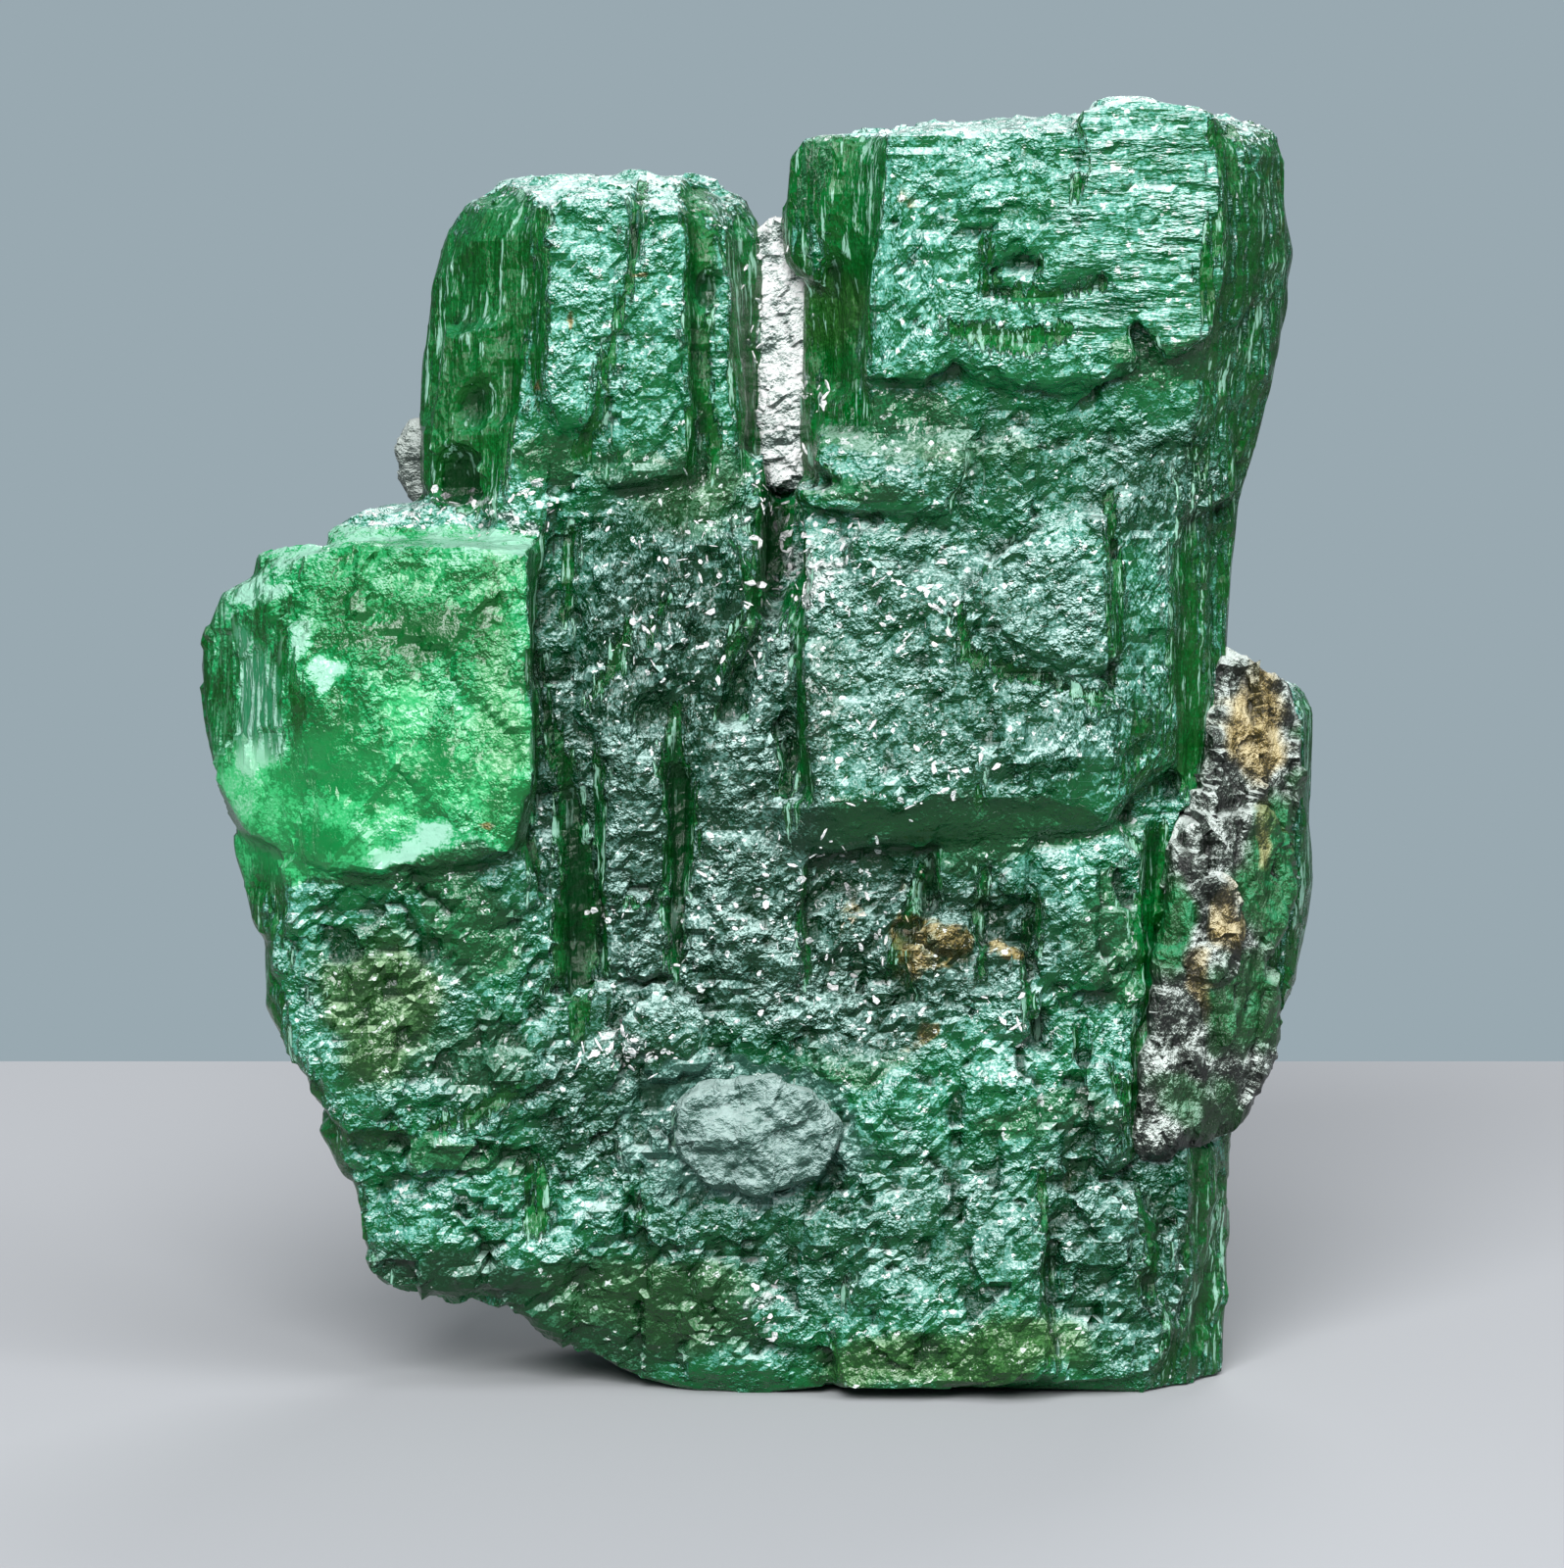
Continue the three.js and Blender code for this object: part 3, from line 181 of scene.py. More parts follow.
# %% Lights
# name: azimuth and elevation in degrees, distance and size in mm, brightness of its face
LIGHTS = {
    "overhead": (25, 62, 240, 180, 2.6),
    "key": (-8, 30, 240, 130, 15.0),
    "fill": (60, 18, 240, 60, 9.0),
    "through": (168, 34, 200, 80, 8.0),
}
for name, (azimuth, elevation, distance, size, brightness) in LIGHTS.items():
    lamp = bpy.data.lights.new(name, "AREA")
    lamp.shape = "DISK"
    lamp.size = size * MM
    # a disk of area A that shines evenly with brightness B gives off pi * A * B watts
    lamp.energy = brightness * math.pi * math.pi * (size * MM / 2) ** 2
    a, e = math.radians(azimuth), math.radians(elevation)
    direction = Vector((math.sin(a) * math.cos(e), -math.cos(a) * math.cos(e), math.sin(e)))
    holder = bpy.data.objects.new(name, lamp)
    holder.location = target + direction * distance * MM
    holder.rotation_euler = direction.to_track_quat("Z", "Y").to_euler()
    bpy.context.scene.collection.objects.link(holder)
print("lights:", ", ".join(LIGHTS))

# %% [markdown]
# ## Noise that a mesh can be carved with
#
# Crystal faces are never smooth at this size: they are etched, stepped and striated. The
# carving is done on the vertices, so it needs noise as numbers. `noise` is smooth value
# noise on a lattice, `fractal` adds finer and finer layers of it, and `facets` breaks
# space into cells, each a small plane with a tilt of its own, as broken crystal has.


# %% Noise on points
# large odd numbers that scramble a cell's place into a value that looks random
PER_AXIS = np.array([374761393, 668265263, 2147483629], np.int64)
FIRST_STIR, SECOND_STIR = 1274126177, 2246822519
LOW_32_BITS = 0xFFFFFFFF


def hashed(cells, seed):
    mixed = cells.astype(np.int64) @ PER_AXIS
    mixed = (mixed + seed * FIRST_STIR) & LOW_32_BITS
    mixed = ((mixed ^ (mixed >> 13)) * FIRST_STIR) & LOW_32_BITS
    mixed = ((mixed ^ (mixed >> 15)) * SECOND_STIR) & LOW_32_BITS
    return (mixed ^ (mixed >> 16)) / LOW_32_BITS


def noise(points, size, seed):
    scaled = points / np.asarray(size)
    cells = np.floor(scaled)
    part = scaled - cells
    part = part * part * (3 - 2 * part)
    total = np.zeros(len(points))
    for corner in np.ndindex(2, 2, 2):
        share = np.prod(np.where(corner, part, 1 - part), axis=1)
        total += share * hashed(cells + corner, seed)
    return 2 * total - 1


def fractal(points, size, seed, layers=4, keep=0.55):
    size = np.asarray(size, float)
    heights = [keep**i * noise(points, size / 2**i, seed + i) for i in range(layers)]
    return np.sum(heights, axis=0)


def facets(points, size, seed, level=1.0, tilt=1.0):
    scaled = points / np.asarray(size)
    base = np.floor(scaled)
    nearest = np.full(len(points), np.inf)
    height = np.zeros(len(points))
    for step in np.ndindex(3, 3, 3):
        cell = base + np.array(step) - 1
        jitter = np.stack([hashed(cell, seed + k) for k in range(3)], axis=1)
        away = scaled - cell - jitter
        distance = np.sum(away * away, axis=1)
        lean = np.stack([hashed(cell, seed + k) for k in range(3, 6)], axis=1) - 0.5
        plane = level * (hashed(cell, seed + 6) - 0.5) + tilt * np.sum(away * lean, axis=1)
        closer = distance < nearest
        nearest = np.where(closer, distance, nearest)
        height = np.where(closer, plane, height)
    return height


def ramp(values, low, high):
    part = np.clip((values - low) / (high - low), 0, 1)
    return part * part * (3 - 2 * part)


print("noise at three points:", noise(np.arange(9.0).reshape(3, 3), 1.7, 1).round(2))

# %% [markdown]
# ## The emerald
#
# The faceted solid already has every crystal, step and ledge. A copy of it is merged and
# remeshed to a fine even skin, about 0.12 mm to a face, and that skin is carved. The
# solid could also be subdivided, but its triangles differ in size by twenty times, and a
# voxel remesh evens them and rounds each edge by about a tenth of a millimetre, which is
# just how worn crystal edges look.


# %% Even skin
# in mm: points closer than the first are one point, and the second is a face's edge
SAME_POINT = 1e-4
SKIN_STEP = 0.115


def even_skin(name, node, step):
    mesh = nodes[node].data.copy()
    mesh.transform(to_bench)
    piece = bpy.data.objects.new(name, mesh)
    bpy.context.scene.collection.objects.link(piece)
    weld = piece.modifiers.new("weld", "WELD")
    weld.merge_threshold = SAME_POINT
    remesh = piece.modifiers.new("remesh", "REMESH")
    remesh.mode = "VOXEL"
    remesh.voxel_size = step
    graph = bpy.context.evaluated_depsgraph_get()
    piece.data = bpy.data.meshes.new_from_object(piece.evaluated_get(graph))
    piece.modifiers.clear()
    piece.data.materials.clear()
    print(name, "skin:", len(piece.data.vertices), "points,", len(piece.data.polygons), "squares")
    return piece


def read_vectors(mesh, field):
    values = np.empty(len(mesh.vertices) * 3, np.float32)
    mesh.vertices.foreach_get(field, values)
    return values.reshape(-1, 3).astype(float)


def set_points(mesh, points):
    mesh.vertices.foreach_set("co", points.astype(np.float32).ravel())
    mesh.update()


def set_fields(mesh, fields):
    for name, values in fields.items():
        attribute = mesh.attributes.new(name, "FLOAT", "POINT")
        attribute.data.foreach_set("value", np.clip(values, 0, 1).astype(np.float32))


def smoothed(mesh, values, rounds):
    edges = np.empty(len(mesh.edges) * 2, np.int32)
    mesh.edges.foreach_get("vertices", edges)
    a, b = edges.reshape(-1, 2).T
    count = np.bincount(edges, minlength=len(values)).astype(float)
    columns = values.reshape(len(values), -1)
    for _ in range(rounds):
        sums = [np.bincount(a, c[b], len(c)) + np.bincount(b, c[a], len(c)) for c in columns.T]
        columns = np.stack(sums, axis=1) / count[:, None]
    return columns.reshape(values.shape)


emerald = even_skin("emerald", "emerald_cluster", SKIN_STEP)
skin = read_vectors(emerald.data, "co")
facing = smoothed(emerald.data, read_vectors(emerald.data, "normal"), 2)

# %% [markdown]
# ### Where each kind of surface is
#
# A face's kind follows from which way it looks and where it sits. Faces that look at the
# viewer are etched to a glittering frost. Those that look sideways stayed smooth and
# show the deep green. Narrow smooth bands also run down between the etched faces, where
# one growth column stops and the next begins. Each band is written as a path across the
# front: x, z and half its width at each point, in mm.

# %% Smooth bands
BANDS = (
    (
        (-2.16, 18.6, 0.1), (-2.39, 17.2, 0.09), (-2.61, 16.2, 0.08), (-2.91, 15.1, 0.11),
        (-3.05, 14.5, 0.14),
    ),
    (
        (-1.33, 18.5, 0.22), (-1.33, 16.8, 0.22), (-1.28, 15.5, 0.15), (-1.11, 14.6, 0.11),
        (-1.28, 14.1, 0.08),
    ),
    ((-0.7, 18.0, 0.14), (-0.45, 17.0, 0.12), (-0.42, 14.9, 0.1)),
    ((-4.3, 18.2, 0.45), (-4.6, 17.0, 0.8), (-4.8, 15.6, 0.8), (-4.9, 14.3, 0.7)),
    (
        (-0.12, 14.8, 0.14), (0.03, 14.0, 0.27), (-0.12, 12.9, 0.25), (-0.44, 12.0, 0.12),
        (-0.96, 11.1, 0.04),
    ),
    ((-3.28, 13.2, 0.15), (-3.43, 12.0, 0.08)),
    ((-2.38, 11.9, 0.06), (-2.6, 11.1, 0.11), (-3.0, 10.6, 0.05)),
    ((-1.9, 12.1, 0.06), (-2.1, 11.2, 0.04)),
    (
        (-3.8, 11.4, 0.07), (-3.54, 10.2, 0.12), (-3.3, 9.2, 0.2), (-3.2, 8.1, 0.27),
        (-3.17, 6.8, 0.3), (-3.1, 5.6, 0.15),
    ),
    (
        (-1.62, 10.6, 0.12), (-1.6, 9.2, 0.23), (-1.65, 8.1, 0.2), (-1.69, 7.3, 0.2),
        (-1.62, 6.5, 0.09),
    ),
    ((-2.9, 7.6, 0.05), (-2.0, 7.5, 0.05)),
    ((0.25, 11.3, 0.05), (0.25, 10.0, 0.06), (0.03, 9.3, 0.15)),
    ((1.07, 19.4, 0.33), (0.99, 17.9, 0.4), (0.8, 16.5, 0.44), (0.76, 15.6, 0.38)),
    ((3.2, 17.0, 0.1), (4.0, 16.85, 0.14), (4.8, 17.05, 0.09)),
    ((2.6, 16.4, 0.12), (3.6, 16.15, 0.18), (4.4, 16.3, 0.1)),
    ((3.1, 17.9, 0.05), (3.15, 17.2, 0.06)),
    ((4.51, 19.4, 0.05), (4.5, 18.4, 0.05)),
    ((6.75, 19.3, 0.3), (6.85, 18.7, 0.2)),
    ((6.6, 18.0, 0.1), (6.5, 17.1, 0.16), (6.5, 16.5, 0.1)),
    (
        (2.68, 12.15, 0.07), (2.79, 11.3, 0.12), (3.4, 11.15, 0.14), (3.9, 11.05, 0.1),
        (4.8, 10.65, 0.11),
    ),
    ((5.0, 13.9, 0.06), (5.08, 12.9, 0.09), (5.03, 11.0, 0.08), (4.86, 10.5, 0.12)),
    ((6.35, 12.8, 0.12), (6.2, 11.4, 0.3), (6.3, 9.5, 0.3)),
    ((2.97, 9.7, 0.05), (3.0, 9.0, 0.08)),
    ((2.15, 8.1, 0.1), (1.9, 7.3, 0.12), (1.65, 6.5, 0.08)),
    ((2.96, 8.2, 0.08), (3.08, 6.4, 0.08)),
    ((3.73, 7.3, 0.1), (3.8, 5.7, 0.06)),
    ((5.8, 8.6, 0.22), (5.8, 7.0, 0.3), (5.8, 6.1, 0.15), (5.5, 5.4, 0.12), (5.35, 3.9, 0.08)),
    ((6.45, 4.2, 0.15), (6.5, 2.5, 0.28), (6.45, 0.7, 0.22)),
    ((4.04, 3.4, 0.08), (4.0, 1.5, 0.1), (4.1, 0.4, 0.06)),
    ((-3.85, 3.5, 0.16), (-3.85, 2.6, 0.18)),
    ((-7.1, 3.95, 0.08), (-5.8, 3.95, 0.1)),
    ((-4.2, 4.7, 0.12), (-5.4, 4.05, 0.1)),
    ((-7.75, 11.8, 0.08), (-7.55, 11.2, 0.13), (-7.4, 10.5, 0.12), (-7.45, 9.6, 0.04)),
)


def band_depth(x, z, path):
    depth = np.full(len(x), -np.inf)
    for (x0, z0, w0), (x1, z1, w1) in zip(path, path[1:]):
        dx, dz = x1 - x0, z1 - z0
        along = np.clip(((x - x0) * dx + (z - z0) * dz) / (dx * dx + dz * dz), 0, 1)
        away = np.hypot(x - x0 - along * dx, z - z0 - along * dz)
        depth = np.maximum(depth, w0 + along * (w1 - w0) - away)
    return depth


wobble = np.stack([fractal(skin, 0.9, seed, 4) for seed in (1, 2, 3)], axis=1)
placed = skin + 0.07 * wobble
at_front = ramp(-facing[:, 1], 0.05, 0.35)
band = np.max([band_depth(placed[:, 0], placed[:, 2], path) for path in BANDS], axis=0)
band = np.where(at_front > 0.5, np.maximum(band, -0.5), -0.5)
print(len(BANDS), "bands cover", round(100 * float(np.mean(band > 0)), 1), "% of the skin")

# %% [markdown]
# The other kinds are soft spots on the front, each a centre, a reach and a strength.
# `haze` is milky but smooth, `grey` is silvery rather than teal, `pale` is a densely
# frosted face, and its three small spots along the gem crystal's ridge are painted
# highlights, `glow` is the brightest part of the gem crystal, a painted glow of light
# shining through it, `olive` and `rust` are stains, `milky` is beryl mixed with quartz,
# `green` is where the schist is mixed with beryl, and `mica` carries white flakes.

# %% Spots
SPOTS = {
    "haze": (
        (2.6, 8.75, 3.1, 0.42, 1.0), (0.3, 8.6, 0.8, 0.5, 1.0), (1.6, 14.9, 1.5, 0.5, 1.0),
        (0.9, 13.85, 1.3, 0.22, 0.9), (5.9, 15.9, 0.8, 0.5, 0.9), (-3.4, 14.5, 0.6, 0.45, 1.0),
        (-1.6, 14.1, 1.2, 0.5, 0.9), (-1.1, 17.1, 0.22, 0.5, 0.8), (0.45, 18.9, 0.3, 0.7, 0.9),
        (-5.6, 8.2, 1.5, 0.5, 1.0), (-4.8, 7.1, 0.7, 0.8, 1.0), (-6.2, 5.9, 0.8, 1.1, 1.0),
        (-4.6, 5.2, 1.1, 0.7, 0.7), (-5.4, 3.7, 1.8, 0.25, 0.8), (-5.2, 1.8, 1.4, 0.45, 1.0),
        (-2.6, 1.2, 2.4, 0.9, 0.9), (2.6, 0.6, 2.2, 0.55, 1.0), (0.9, 5.3, 1.3, 0.5, 0.7),
        (4.0, 4.3, 1.3, 0.4, 0.7), (5.2, 6.9, 0.7, 1.1, 0.7), (0.6, 10.6, 0.35, 1.3, 0.6),
    ),
    "grey": (
        (-1.6, 9.5, 2.7, 4.6, 1.0), (2.6, 11.2, 3.2, 2.4, 0.75), (1.2, 6.9, 3.5, 1.6, 1.0),
        (5.6, 13.9, 1.2, 0.9, 0.8), (3.5, 14.3, 2.4, 0.8, 0.5), (-2.2, 4.6, 2.0, 1.3, 0.8),
        (5.4, 2.6, 1.6, 2.2, 0.7), (0.6, 2.8, 3.6, 1.4, 0.6), (-6.0, 5.9, 1.2, 1.3, 0.5),
        (-4.6, 5.0, 1.2, 0.9, 0.5), (-5.2, 1.8, 1.6, 0.6, 0.6), (-2.6, 1.2, 2.4, 0.9, 0.4),
    ),
    "pale": (
        (5.4, 18.4, 1.3, 1.3, 1.0), (2.6, 18.3, 1.7, 1.3, 0.8), (2.2, 16.8, 1.2, 1.5, 0.7),
        (4.6, 16.5, 1.5, 0.8, 0.6), (4.0, 17.5, 0.8, 0.35, 0.8), (-2.95, 17.0, 0.6, 1.9, 1.0),
        (-1.9, 17.2, 0.35, 1.2, 0.8), (-3.7, 14.0, 0.5, 0.5, 0.8), (4.1, 12.4, 1.1, 1.1, 1.0),
        (1.6, 12.0, 1.6, 1.3, 0.3), (0.4, 12.4, 0.9, 0.8, 0.7), (-5.4, 8.2, 1.4, 0.4, 0.8),
        (-5.6, 3.7, 1.6, 0.2, 1.0), (-6.6, 4.5, 0.8, 0.3, 1.0), (-3.0, 3.0, 0.6, 0.5, 1.0),
        (-5.6, 3.0, 0.8, 0.4, 0.8), (4.7, 9.9, 1.4, 0.3, 0.7), (3.6, 5.7, 0.4, 0.9, 0.9),
        (4.0, 8.2, 0.8, 0.35, 0.9), (-0.6, 6.5, 1.4, 1.2, 0.6), (-2.3, 8.2, 0.4, 1.6, 0.6),
        (3.2, 1.2, 1.2, 0.25, 0.6), (-8.0, 11.0, 0.25, 0.8, 1.0), (-7.9, 10.1, 0.35, 0.6, 1.0),
        # these three are painted highlights along the gem crystal's ridge
        (-7.9, 12.35, 0.3, 0.2, 1.0), (-7.3, 11.7, 0.22, 0.3, 1.0), (-6.95, 11.1, 0.2, 0.25, 1.0),
        (-4.9, 12.9, 1.0, 0.15, 0.6), (-6.3, 9.0, 1.0, 0.3, 0.5),
    ),
    # painted light: the gem crystal painted brighter low on its left, where light from behind
    # shines through
    "glow": (
        (-8.0, 8.9, 0.9, 1.0, 1.0), (-6.9, 9.2, 0.9, 1.0, 0.8), (-5.3, 9.4, 1.2, 0.7, 0.7),
        (-5.7, 10.5, 0.5, 0.5, 0.8), (-4.3, 9.9, 0.5, 1.2, 0.5),
    ),
    "olive": (
        (-6.2, 6.0, 0.8, 1.2, 1.0), (-4.35, 10.8, 0.3, 2.0, 0.6), (-5.9, 12.2, 1.6, 0.8, 0.25),
        (2.7, 0.6, 2.0, 0.5, 0.9), (0.8, 16.6, 0.5, 0.6, 0.8), (-2.0, 1.4, 1.4, 0.7, 0.6),
        (-1.3, 13.7, 0.8, 0.5, 0.5), (3.0, 14.5, 1.0, 0.3, 0.4),
    ),
    "rust": (
        (7.2, 10.2, 0.35, 0.9, 1.0), (7.3, 8.6, 0.15, 0.6, 0.7), (6.65, 7.3, 0.25, 0.5, 0.9),
        (6.3, 6.4, 0.2, 0.6, 0.8), (2.3, 6.9, 0.75, 0.6, 1.0), (1.9, 7.9, 0.2, 0.6, 0.6),
        (3.5, 6.9, 0.35, 0.2, 1.0), (2.1, 5.6, 0.5, 0.2, 0.8), (0.95, 7.4, 0.2, 0.35, 0.8),
        (5.1, 8.1, 0.3, 0.2, 0.7), (7.6, 18.4, 0.25, 1.1, 0.6), (7.3, 16.6, 0.12, 0.15, 1.0),
        (1.94, 18.67, 0.12, 0.14, 0.8), (-3.2, 16.46, 0.12, 0.12, 1.0),
        (-2.5, 16.9, 0.16, 0.08, 1.0), (-3.66, 15.6, 0.09, 0.16, 1.0), (-4.4, 8.7, 0.12, 0.1, 1.0),
        (2.5, 11.6, 0.15, 0.15, 0.8), (4.5, 3.4, 0.25, 0.25, 0.6),
    ),
    "milky": ((-0.7, 4.1, 2.0, 1.3, 1.0),),
    "green": (
        (7.5, 7.9, 0.6, 1.3, 1.0), (7.0, 6.0, 0.7, 0.8, 0.9), (5.9, 7.6, 0.35, 1.2, 1.0),
        (6.3, 4.6, 0.6, 0.5, 0.6), (7.9, 9.9, 0.3, 0.8, 0.8),
    ),
    "mica": (
        (0.5, 12.6, 0.8, 0.7, 1.0), (-2.3, 5.3, 0.6, 0.45, 1.0), (-0.3, 1.3, 0.4, 0.35, 1.0),
        (-5.0, 13.6, 1.3, 0.35, 1.0), (-0.05, 15.4, 0.35, 2.4, 1.0), (-3.7, 13.9, 0.6, 0.3, 0.8),
        (-1.4, 12.2, 1.3, 1.8, 0.35), (0.2, 7.2, 1.8, 1.4, 0.35), (2.0, 9.7, 1.2, 0.7, 0.4),
        (1.6, 12.2, 1.4, 0.8, 0.45), (-2.7, 7.2, 0.4, 0.2, 0.8), (3.4, 5.6, 0.5, 0.7, 0.4),
    ),
}


def spot_field(name, x, z):
    covers = [
        strength * (1 - ramp(np.hypot((x - cx) / rx, (z - cz) / rz), 0.65, 1.3))
        for cx, cz, rx, rz, strength in SPOTS[name]
    ]
    return np.max(covers, axis=0)


# the emerald itself has no `green` spots: those are for the schist
spread = skin + 0.3 * wobble
fields = {}
for name in SPOTS:
    if name != "green":
        fields[name] = spot_field(name, spread[:, 0], spread[:, 2]) * at_front
        share_of_skin = 100 * float(np.mean(fields[name] > 0.5))
        print(name, "covers", round(share_of_skin, 1), "% of the skin")

# %% Regions from place and direction
# a face that looks sideways by more than this has stayed smooth
SMOOTH_FROM = 0.66
# where the gem crystal ends, in mm on the bench
GEM_FLOOR, GEM_TOP, GEM_RIGHT, GEM_BACK = 7.9, 13.35, -3.87, 1.2
# centre and reach, across the front, of the places where the etching runs on a slant
SLANTS = (
    (-1.8, 11.8, 1.7, 2.0),
    (4.6, 9.9, 1.2, 0.8),
    (5.8, 12.0, 0.8, 2.4),
    (1.6, 17.2, 1.0, 1.4),
)

sideways = np.abs(facing[:, 0])
# the right flank is more broken, so noise breaks up more of its smooth part
right_flank = ramp(skin[:, 0], 5.5, 6.5)
smooth_depth = np.maximum(band, (sideways - SMOOTH_FROM) * (0.5 - 0.3 * right_flank))
# the gem crystal's lower edge is ragged and climbs to the right
gem_floor = GEM_FLOOR + 0.7 * ramp(skin[:, 0], -6.8, -4.8) + 0.45 * fractal(skin, 1.2, 161, 4)
gem_depth = np.minimum.reduce([
    placed[:, 2] - gem_floor,
    GEM_TOP - placed[:, 2],
    GEM_RIGHT - placed[:, 0],
    GEM_BACK - skin[:, 1],
])
gem = ramp(gem_depth, -0.5, 0.5)
behind = ramp(facing[:, 1], -0.1, 0.3)
# `stepped` is where growth steps run across, and `lower` is the broken ground
stepped = ramp(skin[:, 0], 3.4, 4.8) * ramp(skin[:, 2], 15.5, 16.5) * at_front
lower = ramp(-skin[:, 2], -8.6, -7.6) * (1 - gem)
slant = np.maximum.reduce([
    1 - ramp(np.hypot((skin[:, 0] - cx) / rx, (skin[:, 2] - cz) / rz), 0.7, 1.2)
    for cx, cz, rx, rz in SLANTS
])
# 0.5 is the edge of a smooth part
fields["smooth"] = 0.5 + smooth_depth
fields["gem"] = gem
fields["stepped"] = stepped
fields["slant"] = slant * at_front
print("the gem crystal is", round(100 * float(np.mean(gem > 0.5)), 1), "% of the skin")

# %% [markdown]
# The back can't be seen from the front, and spots placed there one by one would only be
# invented. The same kinds are scattered over it by noise instead, so it is the same stone.

# %% The back
grey_behind = behind * ramp(fractal(skin, 1.6, 121, 4), -0.1, 0.6) * (1 - gem)
fields["grey"] = np.maximum(fields["grey"], grey_behind)
for kind, size, seed, begins, full, most in (
    ("haze", 1.4, 131, 0.2, 0.6, 0.8),
    ("pale", 1.2, 141, 0.1, 0.7, 0.8),
    ("rust", 1.1, 151, 0.55, 0.9, 0.7),
):
    scattered = behind * ramp(noise(skin, size, seed), begins, full) * most
    fields[kind] = np.maximum(fields[kind], scattered)
print("the back is", round(100 * float(np.mean(behind > 0.5)), 1), "% of the skin")

# %% [markdown]
# ### Carving
#
# Each kind of surface is a height in millimetres, and the heights are added along the
# face's direction. Etching is small tilted planes, striations are noise drawn out along
# the crystal, and the growth steps at the upper right are drawn out sideways. The bands
# are cut as a V, whose sides look away from the key light, and the broken ground gets
# chunks of a millimetre. Nothing moves below the resting plane.

# %% Heights
# heights in mm; each pattern's size is in mm too, and the number after it is its seed
ETCH, FINE_ETCH, STEP, FINE_STEP = 0.2, 0.08, 0.075, 0.02
STRIA, CHUNK, SMALL_CHUNK, CRUMPLE = 0.03, 0.28, 0.13, 0.16
SWELL, BAND_SLOPE, BAND_REACH = 0.03, 0.5, 0.25

# the carving fades out just above the resting plane
above_base = ramp(skin[:, 2] * math.cos(LEAN) - skin[:, 1] * math.sin(LEAN), 0.3, 0.8)
flat_on = np.clip(at_front + behind + ramp(np.abs(facing[:, 2]), 0.5, 0.8), 0, 1)
etched = ETCH * facets(skin, (1.1, 1.1, 0.9), 25, level=0.3) + FINE_ETCH * facets(skin, 0.4, 20)
growth_steps = STEP * facets(skin, (1.2, 1.2, 0.26), 55) + FINE_STEP * fractal(skin, 0.3, 61, 2)
striae = STRIA * fractal(skin, (0.28, 0.28, 4.0), 41, 2)
striae = striae + STRIA * facets(skin, (0.42, 0.42, 3.0), 47)
chunks = CHUNK * facets(skin, (1.0, 1.0, 1.2), 71) + SMALL_CHUNK * facets(skin, 0.48, 81)
crumple = CRUMPLE * facets(skin, (1.3, 1.3, 1.6), 91, level=0.3, tilt=1.4)

is_band = ramp(smooth_depth, -0.04, 0.1)
quiet = np.clip(is_band + fields["haze"], 0, 1)
height = SWELL * fractal(skin, 1.6, 11, 2)
height = height + etched * flat_on * (1 - gem) * (1 - 0.8 * quiet) * (1 - stepped)
height = height + growth_steps * stepped * (1 - 0.6 * quiet)
height = height + striae * ramp(sideways, 0.4, 0.7) * (1 - gem)
height = height + chunks * lower * flat_on * (1 - 0.7 * is_band)
height = height + crumple * gem
height = height - BAND_SLOPE * np.clip(band, 0, BAND_REACH) * (1 - gem)
carved = skin + facing * (height * above_base)[:, None]
set_points(emerald.data, carved)
print("carved by", round(float(height.min()), 3), "to", round(float(height.max()), 3), "mm")

# %% [markdown]
# The material can't see where a groove is, so the mesh tells it, and the shader paints
# shade into the pits: `hollow` is how far a point lies below its surroundings, from 0 on a
# crest to 1 in a pit.

# %% Fields for the material
# a point this far below its surroundings, in mm, is in a full pit
PIT_DEPTH = 0.1
sunk = np.sum((smoothed(emerald.data, carved, 8) - carved) * facing, axis=1)
fields["hollow"] = 0.5 + sunk / (2 * PIT_DEPTH)
set_fields(emerald.data, fields)
emerald.data.transform(to_frame)
print("fields:", ", ".join(sorted(fields)))

# %% [markdown]
# ### Beryl, etched and clear
#
# Emerald is beryl: glassy, with an index of refraction near 1.58 and a green that
# deepens with thickness. Most of this piece is full of tiny cracks and mica, so light
# gets only a little way in. It is part transmission, for the gem-clear places, and part
# plain reflection of a green body.
#
# The etched skin looks like crumpled foil lit from above. The side of a fold that looks up
# is painted pale, frost with painted highlight, and the side that looks down is painted
# green, as painted shade, so each kind of surface has three colours, from what looks down
# to what looks up. They could be painted on the points of the mesh, but the folds are finer
# than the mesh, so the shader chooses between them.

# %% Colours of beryl
# each kind lies over those before it; its three colours run from painted shade to frost
# and painted highlight
TONES = {
    "etched": ("#00602c", "#58a794", "#dafaf2"),
    "haze": ("#06481c", "#277d49", "#a0ccb4"),
    "grey": ("#003016", "#4c766b", "#c6e8e0"),
    "gem": ("#00702c", "#25c070", "#b8fadc"),
    "smooth": ("#00520f", "#007a32", "#349a66"),
    "deep": ("#003e0c", "#02682c", "#2f8f5e"),
    # glow: painted light shining through the gem crystal
    "glow": ("#139a4c", "#46dd84", "#a6f6c8"),
    "milky": ("#2f584b", "#70a094", "#c8e4de"),
    "olive": ("#1f4a12", "#56803a", "#b2d492"),
    "rust": ("#2f2a08", "#8c7430", "#d3c08a"),
    "mica": ("#35524a", "#bcd2ca", "#ffffff"),
}
print("kinds of beryl:", ", ".join(TONES))

# %% [markdown]
# A pattern on the object's own coordinates stays on the stone from every side. They are
# turned and scaled to the bench, so a scale of 3.1 means about three repeats in a
# millimetre. Clouds are the broad changes, mottles are finer, and streaks are noise that
# is drawn out along the crystal.

# %% Patterns
CLOUDS, MOTTLES, STREAKS = 0.9, 3.1, 8.0


